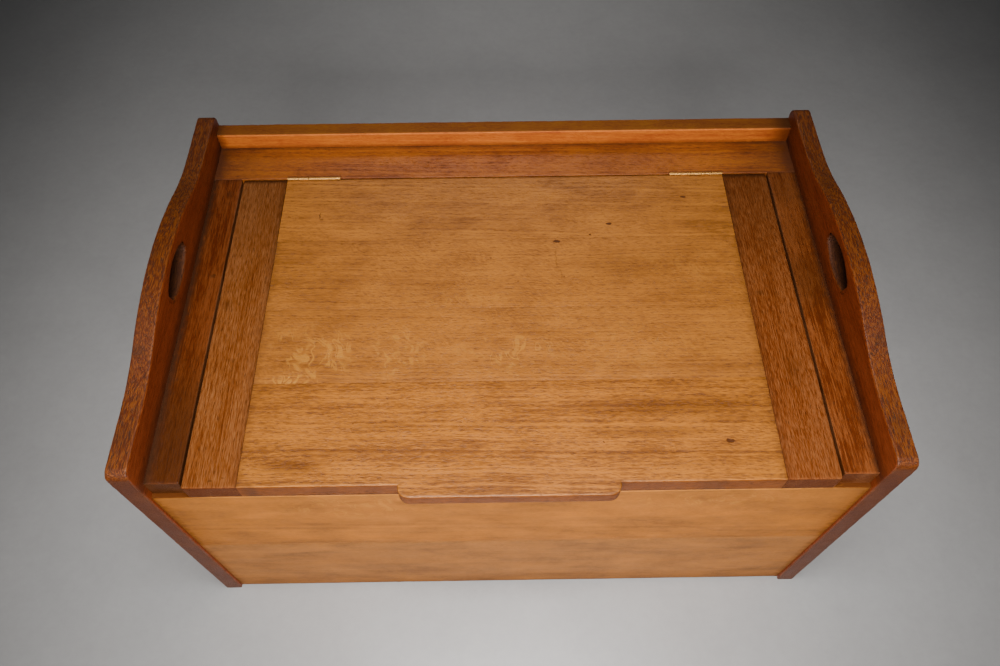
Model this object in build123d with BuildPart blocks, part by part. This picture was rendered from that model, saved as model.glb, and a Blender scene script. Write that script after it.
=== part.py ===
from build123d import *
import math
import os
from collections import namedtuple

os.makedirs("parts", exist_ok=True)

# An oak blanket chest with a lid hinged at the back, in millimetres.
# X runs along the chest, -Y is the front, +Z is up. The origin is on the floor,
# under the middle of the whole chest, finger tab included.

# Case
case_width = 889.0
case_depth = 559.0
top_height = 412.4
wall_lift = 2.0

# Ends, with their shaped top edge
end_thickness = 25.0
shoulder_height = 457.5
hump_rise = 27.0
hump_half_run = 200.0
hollow_run = 85.0
end_corner_radius = 11.0
end_arris = 2.0
end_lower_joint = 158.0
end_upper_joint = 314.0

# Oval hand holes
hand_hole_length = 85.0
hand_hole_height = 33.0
hand_hole_end_radius = 9.0
hand_hole_cover = 14.5
hand_hole_arris = 3.0

# Front and back walls
front_reveal = 4.3
front_thickness = 22.0
front_joint = 205.0
back_thickness = 23.2
back_lower_joint = 148.0
back_upper_joint = 296.0
gallery_rise = 25.5
gallery_arris = 2.5
wall_arris = 1.5

# Tongues on the walls, housed in the ends
wall_tongue_thickness = 8.0
wall_tongue_length = 10.0
wall_tongue_stop = 14.0
housing_clearance = 1.0

# Fixed frame round the lid
strip_width = 40.0
strip_setback = 6.0
rail_width = 62.3
strip_arris = 1.2

# Lid
lid_thickness = 28.5
lid_seat_gap = 0.5
lid_side_gap = 3.1
lid_back_gap = 2.4
lid_arris = 1.5
lid_corner_radius = 3.0
lid_board_1_width = 133.0
lid_board_2_width = 108.0
lid_board_3_width = 113.0
clamp_width = 63.1
clamp_tongue_thickness = 9.0
clamp_tongue_length = 20.0
clamp_tongue_stop = 15.0
clamp_groove_clearance = 1.0

# Finger tab on the lid's front edge
tab_width = 255.0
tab_centre_x = -3.1
tab_reach = 15.0
tab_thickness = 22.0
tab_corner_radius = 13.0
tab_lower_arris = 2.5

# Cleats and bottom
cleat_size = 22.0
bottom_height = 34.0
bottom_thickness = 12.0
bottom_board_count = 6
bottom_side_clearance = 1.0
bottom_tongue_thickness = 4.0
bottom_tongue_length = 6.0
bottom_tongue_clearance = 0.5

# Butt hinges
hinge_length = 76.2
leaf_height = 24.0
leaf_thickness = 1.8
barrel_radius = 2.8
pin_radius = 1.3
pin_fit = 0.04
pin_lift = 0.6
knuckle_count = 5
knuckle_gap = 0.3
knuckle_relief = 0.3
gain_end_clearance = 0.4
hinge_screw_spacing = 25.4
hinge_screw_drop = 15.5
hinge_screw_stagger = 4.5

# Screws and nails
fastener_fit = 0.05
slot_width = 0.8
slot_depth = 0.8
wood_screw_radius = 2.1
wood_screw_head_radius = 4.0
wood_screw_head_height = 2.6
wood_screw_length = 38.0
wood_screw_end_margin = 60.0
side_screw_count = 4
hinge_screw_radius = 1.7
hinge_screw_head_radius = 3.2
hinge_screw_head_height = 1.6
hinge_screw_length = 22.0
nail_radius = 1.1
nail_head_radius = 2.3
nail_head_height = 1.0
nail_length = 32.0
nail_edge_distance = 25.0

# Lines of the case that the pieces share
tab_overhang = tab_reach - front_reveal
front_y = -(case_depth - tab_overhang) / 2
back_y = front_y + case_depth
crest_y = (front_y + back_y) / 2
crown_height = shoulder_height + hump_rise
hand_hole_centre_height = crown_height - hand_hole_cover - hand_hole_height / 2
inner_x = case_width / 2 - end_thickness
wall_front_y = front_y + front_reveal
wall_inner_y = wall_front_y + front_thickness
back_inner_y = back_y - back_thickness
gallery_height = top_height + gallery_rise

# Lines of the lid and the fixed frame
rail_front_y = back_inner_y - rail_width
lid_front_y = wall_front_y
lid_back_y = rail_front_y - lid_back_gap
lid_half_width = inner_x - strip_width - lid_side_gap
lid_bottom = top_height - lid_thickness
clamp_inner_x = lid_half_width - clamp_width
front_height = lid_bottom - lid_seat_gap
lid_joint_1 = lid_front_y + lid_board_1_width
lid_joint_2 = lid_joint_1 + lid_board_2_width
lid_joint_3 = lid_joint_2 + lid_board_3_width

# Hinge lines
pin_y = (lid_back_y + rail_front_y) / 2
pin_z = top_height + pin_lift
hinge_x = clamp_inner_x - hinge_length / 2
leaf_bottom = pin_z - leaf_height
knuckle_pitch = hinge_length / knuckle_count
fixed_knuckles = range(0, knuckle_count, 2)
lid_knuckles = range(1, knuckle_count, 2)

# Bottom lines
bottom_board_width = (2 * inner_x - 2 * bottom_side_clearance) / bottom_board_count
bottom_top = bottom_height + bottom_thickness
bottom_cleat_z = bottom_height - cleat_size / 2
top_cleat_z = front_height - cleat_size / 2
board_centres = [(i - (bottom_board_count - 1) / 2) * bottom_board_width for i in range(bottom_board_count)]

# Ways that a fastener is driven
TO_BACK = (0, 1, 0)
TO_FRONT = (0, -1, 0)
TO_RIGHT = (1, 0, 0)
TO_LEFT = (-1, 0, 0)
UPWARD = (0, 0, 1)
DOWNWARD = (0, 0, -1)
FROM_TOP = (Align.CENTER, Align.CENTER, Align.MAX)

Fastener = namedtuple("Fastener", "radius head_radius head_height length")
wood_screw = Fastener(wood_screw_radius, wood_screw_head_radius, wood_screw_head_height, wood_screw_length)
hinge_screw = Fastener(
    hinge_screw_radius, hinge_screw_head_radius, hinge_screw_head_height, hinge_screw_length
)
nail = Fastener(nail_radius, nail_head_radius, nail_head_height, nail_length)


def spread(low, high, count):
    """Evenly spaced places from low to high."""
    return [low + (high - low) * i / (count - 1) for i in range(count)]


def between(places):
    """The middles of the stretches between neighbouring places."""
    return [(a + b) / 2 for a, b in zip(places, places[1:])]


def driven(x, y, z, way):
    """The place of a fastener whose head lies flush at a point and whose shank points along way."""
    return Plane(origin=(x, y, z), z_dir=-Vector(*way)).location


# Where every fastener stands
side_screw_ys = spread(
    wall_inner_y + wood_screw_end_margin, rail_front_y - wood_screw_end_margin / 2, side_screw_count
)
back_screw_xs = board_centres
strip_cleat_screws = [
    driven(side * (inner_x - cleat_size), y, top_cleat_z, TO_RIGHT if side > 0 else TO_LEFT)
    for side in (-1, 1)
    for y in side_screw_ys
]
rail_cleat_screws = [driven(x, back_inner_y - cleat_size, top_cleat_z, TO_BACK) for x in back_screw_xs]
strip_screws = [
    driven(side * (inner_x - cleat_size / 2), y, front_height - cleat_size, UPWARD)
    for side in (-1, 1)
    for y in between(side_screw_ys)
]
rail_screws = [
    driven(x, back_inner_y - cleat_size / 2, front_height - cleat_size, UPWARD)
    for x in between(back_screw_xs)
]
top_frame_screws = strip_screws + rail_screws
bottom_front_screws = [driven(x, wall_inner_y + cleat_size, bottom_cleat_z, TO_FRONT) for x in board_centres]
bottom_back_screws = [driven(x, back_inner_y - cleat_size, bottom_cleat_z, TO_BACK) for x in board_centres]
bottom_side_screws = [
    driven(side * (inner_x - cleat_size), y, bottom_cleat_z, TO_RIGHT if side > 0 else TO_LEFT)
    for side in (-1, 1)
    for y in side_screw_ys
]
bottom_cleat_screws = bottom_front_screws + bottom_back_screws + bottom_side_screws
bottom_nails = [
    driven(x + side * (bottom_board_width / 2 - nail_edge_distance), y, bottom_top, DOWNWARD)
    for x in board_centres
    for side in (-1, 1)
    for y in (wall_inner_y + cleat_size / 2, back_inner_y - cleat_size / 2)
]
hinge_screw_grid = [
    (side * hinge_x + step * hinge_screw_spacing, pin_z - hinge_screw_drop + (1 - abs(step)) * hinge_screw_stagger)
    for side in (-1, 1)
    for step in (-1, 0, 1)
]
rail_hinge_screws = [driven(x, rail_front_y, z, TO_BACK) for x, z in hinge_screw_grid]
lid_hinge_screws = [driven(x, lid_back_y, z, TO_FRONT) for x, z in hinge_screw_grid]


def block(x_range, y_range, z_range, mode=Mode.ADD):
    """A box between two values along each axis."""
    sizes = [high - low for low, high in (x_range, y_range, z_range)]
    with Locations(tuple(sum(limits) / 2 for limits in (x_range, y_range, z_range))):
        Box(*sizes, mode=mode)


def drive(places, kind, fit=0.0, mode=Mode.ADD):
    """Countersunk shanks pointing down each place's own -Z, or the holes for them."""
    with Locations(*places):
        Cylinder(kind.radius + fit, kind.length + fit, align=FROM_TOP, mode=mode)
        Cone(kind.radius + fit, kind.head_radius + fit, kind.head_height, align=FROM_TOP, mode=mode)


def bore(places, kind):
    """Holes that a set of fasteners fits."""
    drive(places, kind, fit=fastener_fit, mode=Mode.SUBTRACT)


def save(builder, label):
    """Names a finished piece and writes it."""
    builder.part.label = label
    export_step(builder.part, f"parts/{label}.step")


def hand_hole_oval():
    """An oval of four arcs that meet smoothly, flat at the sides and round at the ends."""
    half_length = hand_hole_length / 2
    half_height = hand_hole_height / 2
    end_centre = half_length - hand_hole_end_radius
    side_radius = (end_centre**2 + half_height**2 - hand_hole_end_radius**2) / (
        2 * (half_height - hand_hole_end_radius)
    )
    reach = hand_hole_end_radius / (side_radius - hand_hole_end_radius)
    meet_y = end_centre * (1 + reach)
    meet_z = (side_radius - half_height) * reach
    with BuildSketch() as oval:
        with BuildLine():
            for way in (-1, 1):
                ThreePointArc((way * meet_y, meet_z), (way * half_length, 0), (way * meet_y, -meet_z))
                ThreePointArc((-meet_y, way * meet_z), (0, way * half_height), (meet_y, way * meet_z))
        make_face()
    return oval.sketch


def end_slab(side):
    """A whole end: rounded corners, an ogee rising to a hump at mid depth, and the hand hole."""
    x_low = inner_x if side > 0 else -inner_x - end_thickness
    turn_height = shoulder_height + hump_rise * hollow_run / hump_half_run
    crown_half_run = hump_half_run - hollow_run
    straight_height = shoulder_height - end_corner_radius
    with BuildPart() as slab:
        with BuildSketch(Plane.YZ.offset(x_low)):
            with BuildLine():
                for way, edge_y in ((-1, front_y), (1, back_y)):
                    corner_y = edge_y - way * end_corner_radius
                    hollow_y = crest_y + way * hump_half_run
                    turn_y = crest_y + way * crown_half_run
                    Line((edge_y, 0), (edge_y, straight_height))
                    TangentArc((edge_y, straight_height), (corner_y, shoulder_height), tangent=(0, 1))
                    Line((corner_y, shoulder_height), (hollow_y, shoulder_height))
                    TangentArc((hollow_y, shoulder_height), (turn_y, turn_height), tangent=(-way, 0))
                crown_start = (crest_y - crown_half_run, turn_height)
                ThreePointArc(crown_start, (crest_y, crown_height), (crest_y + crown_half_run, turn_height))
                Line((front_y, 0), (back_y, 0))
            make_face()
        extrude(amount=end_thickness)
        fillet(slab.faces().filter_by(Axis.X).edges(), radius=end_arris)
        with BuildSketch(Plane.YZ.offset(x_low)):
            with Locations((crest_y, hand_hole_centre_height)):
                add(hand_hole_oval())
        extrude(amount=end_thickness, mode=Mode.SUBTRACT)
        fillet(slab.edges(Select.LAST).filter_by(Plane.YZ), radius=hand_hole_arris)
    return slab.part


def end_board(label, slab, side, low, high):
    """One of the three boards of an end, housed for the walls' tongues."""
    housing_depth = wall_tongue_length + housing_clearance
    housing_x = sorted((side * inner_x, side * (inner_x + housing_depth)))
    slab_x = sorted((side * inner_x, side * (inner_x + end_thickness)))
    with BuildPart() as board:
        add(slab)
        block(slab_x, (front_y, back_y), (low, high), mode=Mode.INTERSECT)
        for wall_y, thickness, wall_top in (
            (wall_front_y, front_thickness, front_height),
            (back_inner_y, back_thickness, gallery_height),
        ):
            middle = wall_y + thickness / 2
            tongue_y = (middle - wall_tongue_thickness / 2, middle + wall_tongue_thickness / 2)
            block(housing_x, tongue_y, (0, wall_top - wall_tongue_stop), mode=Mode.SUBTRACT)
        bore(strip_cleat_screws + bottom_side_screws, wood_screw)
    save(board, label)


def wall_board(label, wall_y, thickness, low, high, top_arris, tongue_stop):
    """One board of the front or back wall, with a tongue on each end."""
    middle = wall_y + thickness / 2
    tongue_y = (middle - wall_tongue_thickness / 2, middle + wall_tongue_thickness / 2)
    tongue_x = inner_x + wall_tongue_length
    with BuildPart() as board:
        block((-inner_x, inner_x), (wall_y, wall_y + thickness), (low, high))
        if top_arris:
            fillet(board.faces().sort_by(Axis.Z)[-1].edges().filter_by(Axis.X), radius=top_arris)
        block((-tongue_x, tongue_x), tongue_y, (low, high - tongue_stop))
        bore(rail_cleat_screws + bottom_front_screws + bottom_back_screws, wood_screw)
    save(board, label)


def top_strip(label, side):
    """The fixed strip between an end and the lid."""
    x_range = sorted((side * (inner_x - strip_width), side * inner_x))
    with BuildPart() as strip:
        block(x_range, (wall_front_y + strip_setback, rail_front_y), (front_height, top_height))
        top_edges = strip.faces().sort_by(Axis.Z)[-1].edges()
        lid_side_edge = top_edges.sort_by(Axis.X)[0 if side > 0 else -1]
        fillet([lid_side_edge, top_edges.sort_by(Axis.Y)[0]], radius=strip_arris)
        bore(strip_screws, wood_screw)
    save(strip, label)


def hinge_gain(edge_y, into):
    """The recesses for both hinges in an edge of the rail or the lid."""
    gain_y = sorted((edge_y, edge_y + into * leaf_thickness))
    half = hinge_length / 2 + gain_end_clearance
    for side in (-1, 1):
        x = side * hinge_x
        block((x - half, x + half), gain_y, (leaf_bottom, top_height), mode=Mode.SUBTRACT)


def hinge_rail():
    """The fixed rail behind the lid, which carries the hinges."""
    with BuildPart() as rail:
        block((-inner_x, inner_x), (rail_front_y, back_inner_y), (front_height, top_height))
        fillet(rail.faces().sort_by(Axis.Z)[-1].edges().sort_by(Axis.Y)[0], radius=strip_arris)
        hinge_gain(rail_front_y, 1)
        bore(rail_screws, wood_screw)
        bore(rail_hinge_screws, hinge_screw)
    save(rail, "hinge_rail")


def cleat(label, x_range, y_range, top, screws):
    """A square batten, bored for the screws that pass through it."""
    with BuildPart() as batten:
        block(x_range, y_range, (top - cleat_size, top))
        bore(screws, wood_screw)
        bore(bottom_nails, nail)
    save(batten, label)


def bottom_board(number):
    """A bottom board laid front to back, tongued into its right-hand neighbour."""
    middle = board_centres[number - 1]
    left = middle - bottom_board_width / 2
    right = middle + bottom_board_width / 2
    y_range = (wall_inner_y + bottom_side_clearance, back_inner_y - bottom_side_clearance)
    tongue_z = (
        bottom_height + (bottom_thickness - bottom_tongue_thickness) / 2,
        bottom_height + (bottom_thickness + bottom_tongue_thickness) / 2,
    )
    with BuildPart() as board:
        block((left, right), y_range, (bottom_height, bottom_top))
        if number < bottom_board_count:
            block((right, right + bottom_tongue_length), y_range, tongue_z)
        if number > 1:
            groove_end = left + bottom_tongue_length + bottom_tongue_clearance
            block((left, groove_end), y_range, tongue_z, mode=Mode.SUBTRACT)
        bore(bottom_nails, nail)
    save(board, f"bottom_board_{number}")


def lid_tongue(low, high):
    """The tongues at both ends of a lid board, housed in the clamps."""
    middle = top_height - lid_thickness / 2
    reach = clamp_inner_x + clamp_tongue_length
    half = clamp_tongue_thickness / 2
    block((-reach, reach), (low, high), (middle - half, middle + half))


def lid_front_board():
    """The front board of the lid, with the finger tab on its edge."""
    tab_front_y = lid_front_y - tab_reach
    tab_left = tab_centre_x - tab_width / 2
    tab_right = tab_centre_x + tab_width / 2
    corner = min(tab_corner_radius, tab_reach - lid_arris)
    tab_bottom = top_height - tab_thickness
    with BuildPart() as board:
        with BuildSketch(Plane.XY.offset(lid_bottom)) as outline:
            with Locations((0, (lid_front_y + lid_joint_1) / 2)):
                Rectangle(2 * clamp_inner_x, lid_board_1_width)
            with Locations((tab_centre_x, lid_front_y - tab_reach / 2)):
                Rectangle(tab_width, tab_reach)
            tab_vertices = outline.vertices().filter_by_position(Axis.X, tab_left - 1, tab_right + 1)
            fillet(tab_vertices.group_by(Axis.Y)[0], radius=corner)
        extrude(amount=lid_thickness)
        block((tab_left, tab_right), (tab_front_y, lid_front_y), (lid_bottom, tab_bottom), mode=Mode.SUBTRACT)
        top_edges = board.faces().sort_by(Axis.Z)[-1].edges()
        fillet(top_edges.filter_by_position(Axis.Y, tab_front_y, lid_front_y), radius=lid_arris)
        tab_lower_edges = board.edges().filter_by_position(Axis.Z, tab_bottom, tab_bottom)
        fillet(tab_lower_edges.sort_by(Axis.Y)[0], radius=tab_lower_arris)
        lid_tongue(lid_front_y + clamp_tongue_stop, lid_joint_1)
    save(board, "lid_board_1")


def lid_plain_board(number, low, high):
    """A middle board of the lid."""
    with BuildPart() as board:
        block((-clamp_inner_x, clamp_inner_x), (low, high), (lid_bottom, top_height))
        lid_tongue(low, high)
    save(board, f"lid_board_{number}")


def lid_rear_board():
    """The rear board of the lid, which carries the hinges."""
    with BuildPart() as board:
        block((-clamp_inner_x, clamp_inner_x), (lid_joint_3, lid_back_y), (lid_bottom, top_height))
        fillet(board.faces().sort_by(Axis.Z)[-1].edges().sort_by(Axis.Y)[-1], radius=strip_arris)
        lid_tongue(lid_joint_3, lid_back_y - clamp_tongue_stop)
        hinge_gain(lid_back_y, -1)
        bore(lid_hinge_screws, hinge_screw)
    save(board, "lid_board_4")


def lid_clamp(label, side):
    """A breadboard end, grooved for the tongues of the lid boards."""
    outer_x = side * lid_half_width
    inner = side * clamp_inner_x
    groove_end = inner + side * (clamp_tongue_length + clamp_groove_clearance)
    middle = top_height - lid_thickness / 2
    groove_z = (middle - clamp_tongue_thickness / 2, middle + clamp_tongue_thickness / 2)
    groove_y = (lid_front_y + clamp_tongue_stop, lid_back_y - clamp_tongue_stop)
    with BuildPart() as clamp:
        block(sorted((inner, outer_x)), (lid_front_y, lid_back_y), (lid_bottom, top_height))
        front_corners = clamp.edges().filter_by(Axis.Z).group_by(Axis.Y)[0]
        fillet(front_corners.sort_by(Axis.X)[-1 if side > 0 else 0], radius=lid_corner_radius)
        top_edges = clamp.faces().sort_by(Axis.Z)[-1].edges()
        joint_edge = top_edges.sort_by(Axis.X)[0 if side > 0 else -1]
        fillet([edge for edge in top_edges if edge != joint_edge], radius=lid_arris)
        block(sorted((inner, groove_end)), groove_y, groove_z, mode=Mode.SUBTRACT)
    save(clamp, label)


def knuckle_span(hinge_middle, number, grow):
    """Where a knuckle starts and ends along the pin, lengthened by grow at each end."""
    start = hinge_middle - hinge_length / 2 + number * knuckle_pitch
    end = start + knuckle_pitch
    return start - grow, end + grow


def hinge_leaf(label, side, into, own, others, screws):
    """A hinge leaf let into an edge, with its knuckles round the pin."""
    middle = side * hinge_x
    inner_face_y = pin_y + into * lid_back_gap / 2
    leaf_y = sorted((inner_face_y, inner_face_y + into * leaf_thickness))
    x_range = (middle - hinge_length / 2, middle + hinge_length / 2)
    with BuildPart() as leaf:
        block(x_range, leaf_y, (leaf_bottom, pin_z))
        for number in own:
            low, high = knuckle_span(middle, number, 0)
            with BuildSketch(Plane.YZ.offset(low)):
                with Locations((pin_y, pin_z)):
                    Circle(barrel_radius)
            extrude(amount=high - low)
        for number in others:
            low, high = knuckle_span(middle, number, knuckle_gap)
            with BuildSketch(Plane.YZ.offset(low)):
                with Locations((pin_y, pin_z)):
                    Circle(barrel_radius + knuckle_relief)
            extrude(amount=high - low, mode=Mode.SUBTRACT)
        with BuildSketch(Plane.YZ.offset(x_range[0])):
            with Locations((pin_y, pin_z)):
                Circle(pin_radius + pin_fit)
        extrude(amount=hinge_length, mode=Mode.SUBTRACT)
        bore(screws, hinge_screw)
    save(leaf, label)


def hinge_pin(label, side):
    """The pin of one hinge, as long as the barrel."""
    with BuildPart() as pin:
        with BuildSketch(Plane.YZ.offset(side * hinge_x - hinge_length / 2)):
            with Locations((pin_y, pin_z)):
                Circle(pin_radius)
        extrude(amount=hinge_length)
    save(pin, label)


def fastener_group(label, places, kind, slotted):
    """A set of like screws or nails."""
    with BuildPart() as group:
        drive(places, kind)
        if slotted:
            with Locations(*places):
                Box(2 * kind.head_radius, slot_width, slot_depth, align=FROM_TOP, mode=Mode.SUBTRACT)
    save(group, label)


# Ends
for side_name, side in (("left", -1), ("right", 1)):
    slab = end_slab(side)
    end_board(f"{side_name}_end_lower_board", slab, side, 0, end_lower_joint)
    end_board(f"{side_name}_end_middle_board", slab, side, end_lower_joint, end_upper_joint)
    end_board(f"{side_name}_end_upper_board", slab, side, end_upper_joint, crown_height)

# Front and back walls
front_wall = (wall_front_y, front_thickness)
back_wall = (back_inner_y, back_thickness)
wall_board("front_lower_board", *front_wall, wall_lift, front_joint, 0, 0)
wall_board("front_upper_board", *front_wall, front_joint, front_height, wall_arris, wall_tongue_stop)
wall_board("back_lower_board", *back_wall, wall_lift, back_lower_joint, 0, 0)
wall_board("back_middle_board", *back_wall, back_lower_joint, back_upper_joint, 0, 0)
wall_board("back_upper_board", *back_wall, back_upper_joint, gallery_height, gallery_arris, wall_tongue_stop)

# Fixed frame round the lid, and the cleats under it
top_strip("left_top_strip", -1)
top_strip("right_top_strip", 1)
hinge_rail()
front_cleat_y = (wall_inner_y, wall_inner_y + cleat_size)
back_cleat_y = (back_inner_y - cleat_size, back_inner_y)
side_cleat_y = (wall_inner_y + cleat_size, back_inner_y - cleat_size)
strip_cleat_y = (wall_inner_y, back_inner_y)
full_x = (-inner_x, inner_x)
rail_cleat_x = (cleat_size - inner_x, inner_x - cleat_size)
for side_name, side in (("left", -1), ("right", 1)):
    cleat_x = sorted((side * (inner_x - cleat_size), side * inner_x))
    cleat(f"{side_name}_strip_cleat", cleat_x, strip_cleat_y, front_height, strip_cleat_screws + strip_screws)
    cleat(f"{side_name}_bottom_cleat", cleat_x, side_cleat_y, bottom_height, bottom_side_screws)
cleat("hinge_rail_cleat", rail_cleat_x, back_cleat_y, front_height, rail_cleat_screws + rail_screws)

# Bottom
cleat("front_bottom_cleat", full_x, front_cleat_y, bottom_height, bottom_front_screws)
cleat("back_bottom_cleat", full_x, back_cleat_y, bottom_height, bottom_back_screws)
for number in range(1, bottom_board_count + 1):
    bottom_board(number)

# Lid
lid_front_board()
lid_plain_board(2, lid_joint_1, lid_joint_2)
lid_plain_board(3, lid_joint_2, lid_joint_3)
lid_rear_board()
lid_clamp("left_lid_clamp", -1)
lid_clamp("right_lid_clamp", 1)

# Hinges
for side_name, side in (("left", -1), ("right", 1)):
    hinge_leaf(f"{side_name}_hinge_fixed_leaf", side, 1, fixed_knuckles, lid_knuckles, rail_hinge_screws)
    hinge_leaf(f"{side_name}_hinge_lid_leaf", side, -1, lid_knuckles, fixed_knuckles, lid_hinge_screws)
    hinge_pin(f"{side_name}_hinge_pin", side)

# Screws and nails
fastener_group("top_cleat_screws", strip_cleat_screws + rail_cleat_screws, wood_screw, True)
fastener_group("top_frame_screws", top_frame_screws, wood_screw, True)
fastener_group("bottom_cleat_screws", bottom_cleat_screws, wood_screw, True)
fastener_group("bottom_board_nails", bottom_nails, nail, False)
fastener_group("rail_hinge_screws", rail_hinge_screws, hinge_screw, True)
fastener_group("lid_hinge_screws", lid_hinge_screws, hinge_screw, True)
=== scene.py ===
import math
import random
from collections import namedtuple
from functools import partial
from itertools import product

import bmesh
import bpy
import numpy as np
from bpy.props import FloatProperty, FloatVectorProperty, PointerProperty
from mathutils import Matrix, Vector, noise
from mathutils.geometry import delaunay_2d_cdt


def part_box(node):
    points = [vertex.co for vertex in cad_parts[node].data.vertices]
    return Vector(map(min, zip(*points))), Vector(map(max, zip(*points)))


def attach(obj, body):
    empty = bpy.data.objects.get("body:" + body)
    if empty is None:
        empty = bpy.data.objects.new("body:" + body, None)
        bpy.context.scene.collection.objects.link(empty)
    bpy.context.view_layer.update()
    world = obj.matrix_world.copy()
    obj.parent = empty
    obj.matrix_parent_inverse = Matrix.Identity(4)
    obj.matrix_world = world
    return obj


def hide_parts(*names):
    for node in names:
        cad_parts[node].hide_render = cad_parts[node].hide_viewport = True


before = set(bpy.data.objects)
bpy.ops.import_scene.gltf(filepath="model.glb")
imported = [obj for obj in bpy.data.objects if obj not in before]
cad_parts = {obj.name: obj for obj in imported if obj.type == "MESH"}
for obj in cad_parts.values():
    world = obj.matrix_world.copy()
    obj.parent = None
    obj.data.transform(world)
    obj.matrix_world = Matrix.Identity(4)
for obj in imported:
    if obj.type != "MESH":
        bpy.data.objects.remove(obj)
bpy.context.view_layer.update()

bl_info = {
    "name": "Oak blanket chest",
    "version": (1, 0, 0),
    "blender": (4, 5, 0),
    "location": "3D View > Sidebar > Chest",
    "description": "Dresses the packed blanket chest in waxed oak, pine, brass and steel",
    "category": "Object",
}

MM = 0.001


# Sizes and colours that a user may change


def hex_tone(text):
    """An sRGB hex value as linear red, green and blue."""
    shares = (int(text[i : i + 2], 16) / 255 for i in (1, 3, 5))
    return tuple(s / 12.92 if s <= 0.04045 else ((s + 0.055) / 1.055) ** 2.4 for s in shares)


def tone_setting(label, text):
    """A colour, by its sRGB hex value."""
    return FloatVectorProperty(
        name=label, description=f"Middle colour of the {label.lower()}", subtype="COLOR",
        min=0, max=1, default=hex_tone(text),
    )


def length_setting(label, description, default, least, most):
    """A length, given in mm."""
    return FloatProperty(
        name=label, description=description, default=default * MM, min=least * MM, max=most * MM,
        unit="LENGTH",
    )


class ChestFinish(bpy.types.PropertyGroup):
    lid: tone_setting("Lid boards", "#8D5520")
    lid_front: tone_setting("Front lid board", "#8B521B")
    lid_edge: tone_setting("Front edge of the lid", "#6E3601")
    left_clamp: tone_setting("Left lid clamp", "#713F1B")
    right_clamp: tone_setting("Right lid clamp", "#6D3917")
    left_strip: tone_setting("Left top strip", "#5C2A0D")
    right_strip: tone_setting("Right top strip", "#683312")
    frame_edge: tone_setting("Edges of the clamps and strips", "#6A3B1D")
    rail: tone_setting("Hinge rail", "#864719")
    end: tone_setting("Ends", "#7F3818")
    end_edge: tone_setting("Narrow faces of the ends", "#612D06")
    front: tone_setting("Front wall, upper board", "#9F6024")
    front_lower: tone_setting("Front wall, lower board", "#965F2E")
    back: tone_setting("Back wall", "#B65E20")
    back_edge: tone_setting("Top edge of the back wall", "#6E3C14")
    pine: tone_setting("Pine inside", "#B98E5A")
    brass: tone_setting("Hinge brass", "#C08C4C")
    screw: tone_setting("Screw brass", "#B88F4E")
    steel: tone_setting("Steel fixings", "#8C8883")


class ChestWear(bpy.types.PropertyGroup):
    lid_arris: length_setting("Lid arris", "Radius the lid's edges are worn to", 1.7, 0.2, 4)
    end_arris: length_setting("End arris", "Radius the ends' edges are worn to", 2.1, 0.2, 4)
    nick_depth: length_setting("Nick depth", "Depth of the small nicks along worn edges", 0.7, 0, 2)
    unevenness: length_setting(
        "Unevenness", "How far a planed face falls below its own plane", 0.15, 0, 1,
    )


class ChestStage(bpy.types.PropertyGroup):
    lens: FloatProperty(
        name="Lens", description="Focal length in mm, on a sensor 36 mm wide", unit="CAMERA",
        default=28.72, min=10, max=200,
    )
    key_power: FloatProperty(
        name="Soft light", description="Power that the soft lights share out", default=17, min=0, max=2000,
        unit="POWER",
    )
    floor: FloatVectorProperty(
        name="Floor", description="Colour of the floor", subtype="COLOR", min=0, max=1,
        default=hex_tone("#969492"),
    )


# Boards, in mm

# How an outline's edge is finished: the arris radius on the high and the low
# face, how far it is worn bright, which also paints a highlight along the arris,
# and how much dirt and, in corners and gaps, painted shade darkens it.
Edge = namedtuple("Edge", "high low worn grime")

JOINT = Edge(0.1, 0.1, 0, 0.12)
SAWN = Edge(0.6, 0.6, 0, 0)
PLANED = Edge(0.8, 0.8, 0, 0)
CORNER_STEPS = 6
ARC_STEPS = 4
WORN_STEP, PLAIN_STEP = 3.0, 16.0
NICK_CHANCE = 0.035
# Two more rings down each side: how deep, or the share of a thin board's thickness
SIDE_RINGS = ((7.0, 0.35), (1.6, 0.1))
# Rows of points inside a face, by their distance from the outline
FACE_ROWS = (3.6, 6.0, 10.0)
GRID_MARGIN = 12
# How far rubbing, with its painted highlight, and dirt, with its painted shade, reach from an edge
WORN_REACH, GRIME_AND_SHADE_REACH = 1.9, 3.0
# Points measured at once, so that the memory stays small
BATCH = 4000


def corners(node):
    """Lowest and highest corner of a CAD node, in mm."""
    low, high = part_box(node)
    return Vector(low) / MM, Vector(high) / MM


def rectangle(low, high, bottom, right, top, left):
    return [
        (Vector((low[0], low[1])), bottom),
        (Vector((high[0], low[1])), right),
        (Vector((high[0], high[1])), top),
        (Vector((low[0], high[1])), left),
    ]


def sided(side, low, high, front, outer, back, inner):
    """The rectangle of a piece at the left (side -1) or at the right (side 1), seen from above."""
    right, left = (outer, inner) if side > 0 else (inner, outer)
    return rectangle(low, high, front, right, back, left)


def rounded(outline, radii, steps=CORNER_STEPS):
    """Rounds the right-angled corners of an outline that radii names by number."""
    made = []
    for i, (point, edge) in enumerate(outline):
        radius = radii.get(i)
        if not radius:
            made.append((point, edge))
            continue
        back = (outline[i - 1][0] - point).normalized()
        ahead = (outline[(i + 1) % len(outline)][0] - point).normalized()
        centre = point + (back + ahead) * radius
        for k in range(steps + 1):
            turn = k / steps * math.pi / 2
            place = centre - ahead * radius * math.cos(turn) - back * radius * math.sin(turn)
            made.append((place, edge if k == steps else max(edge, outline[i - 1][1])))
    return made


def divided(outline):
    """Adds points along an outline, close together where its edge is worn."""
    made = []
    for i, (point, edge) in enumerate(outline):
        ahead = outline[(i + 1) % len(outline)][0]
        count = max(1, int((ahead - point).length // (WORN_STEP if edge.worn else PLAIN_STEP)))
        made += [(point.lerp(ahead, k / count), edge) for k in range(count)]
    return made


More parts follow.
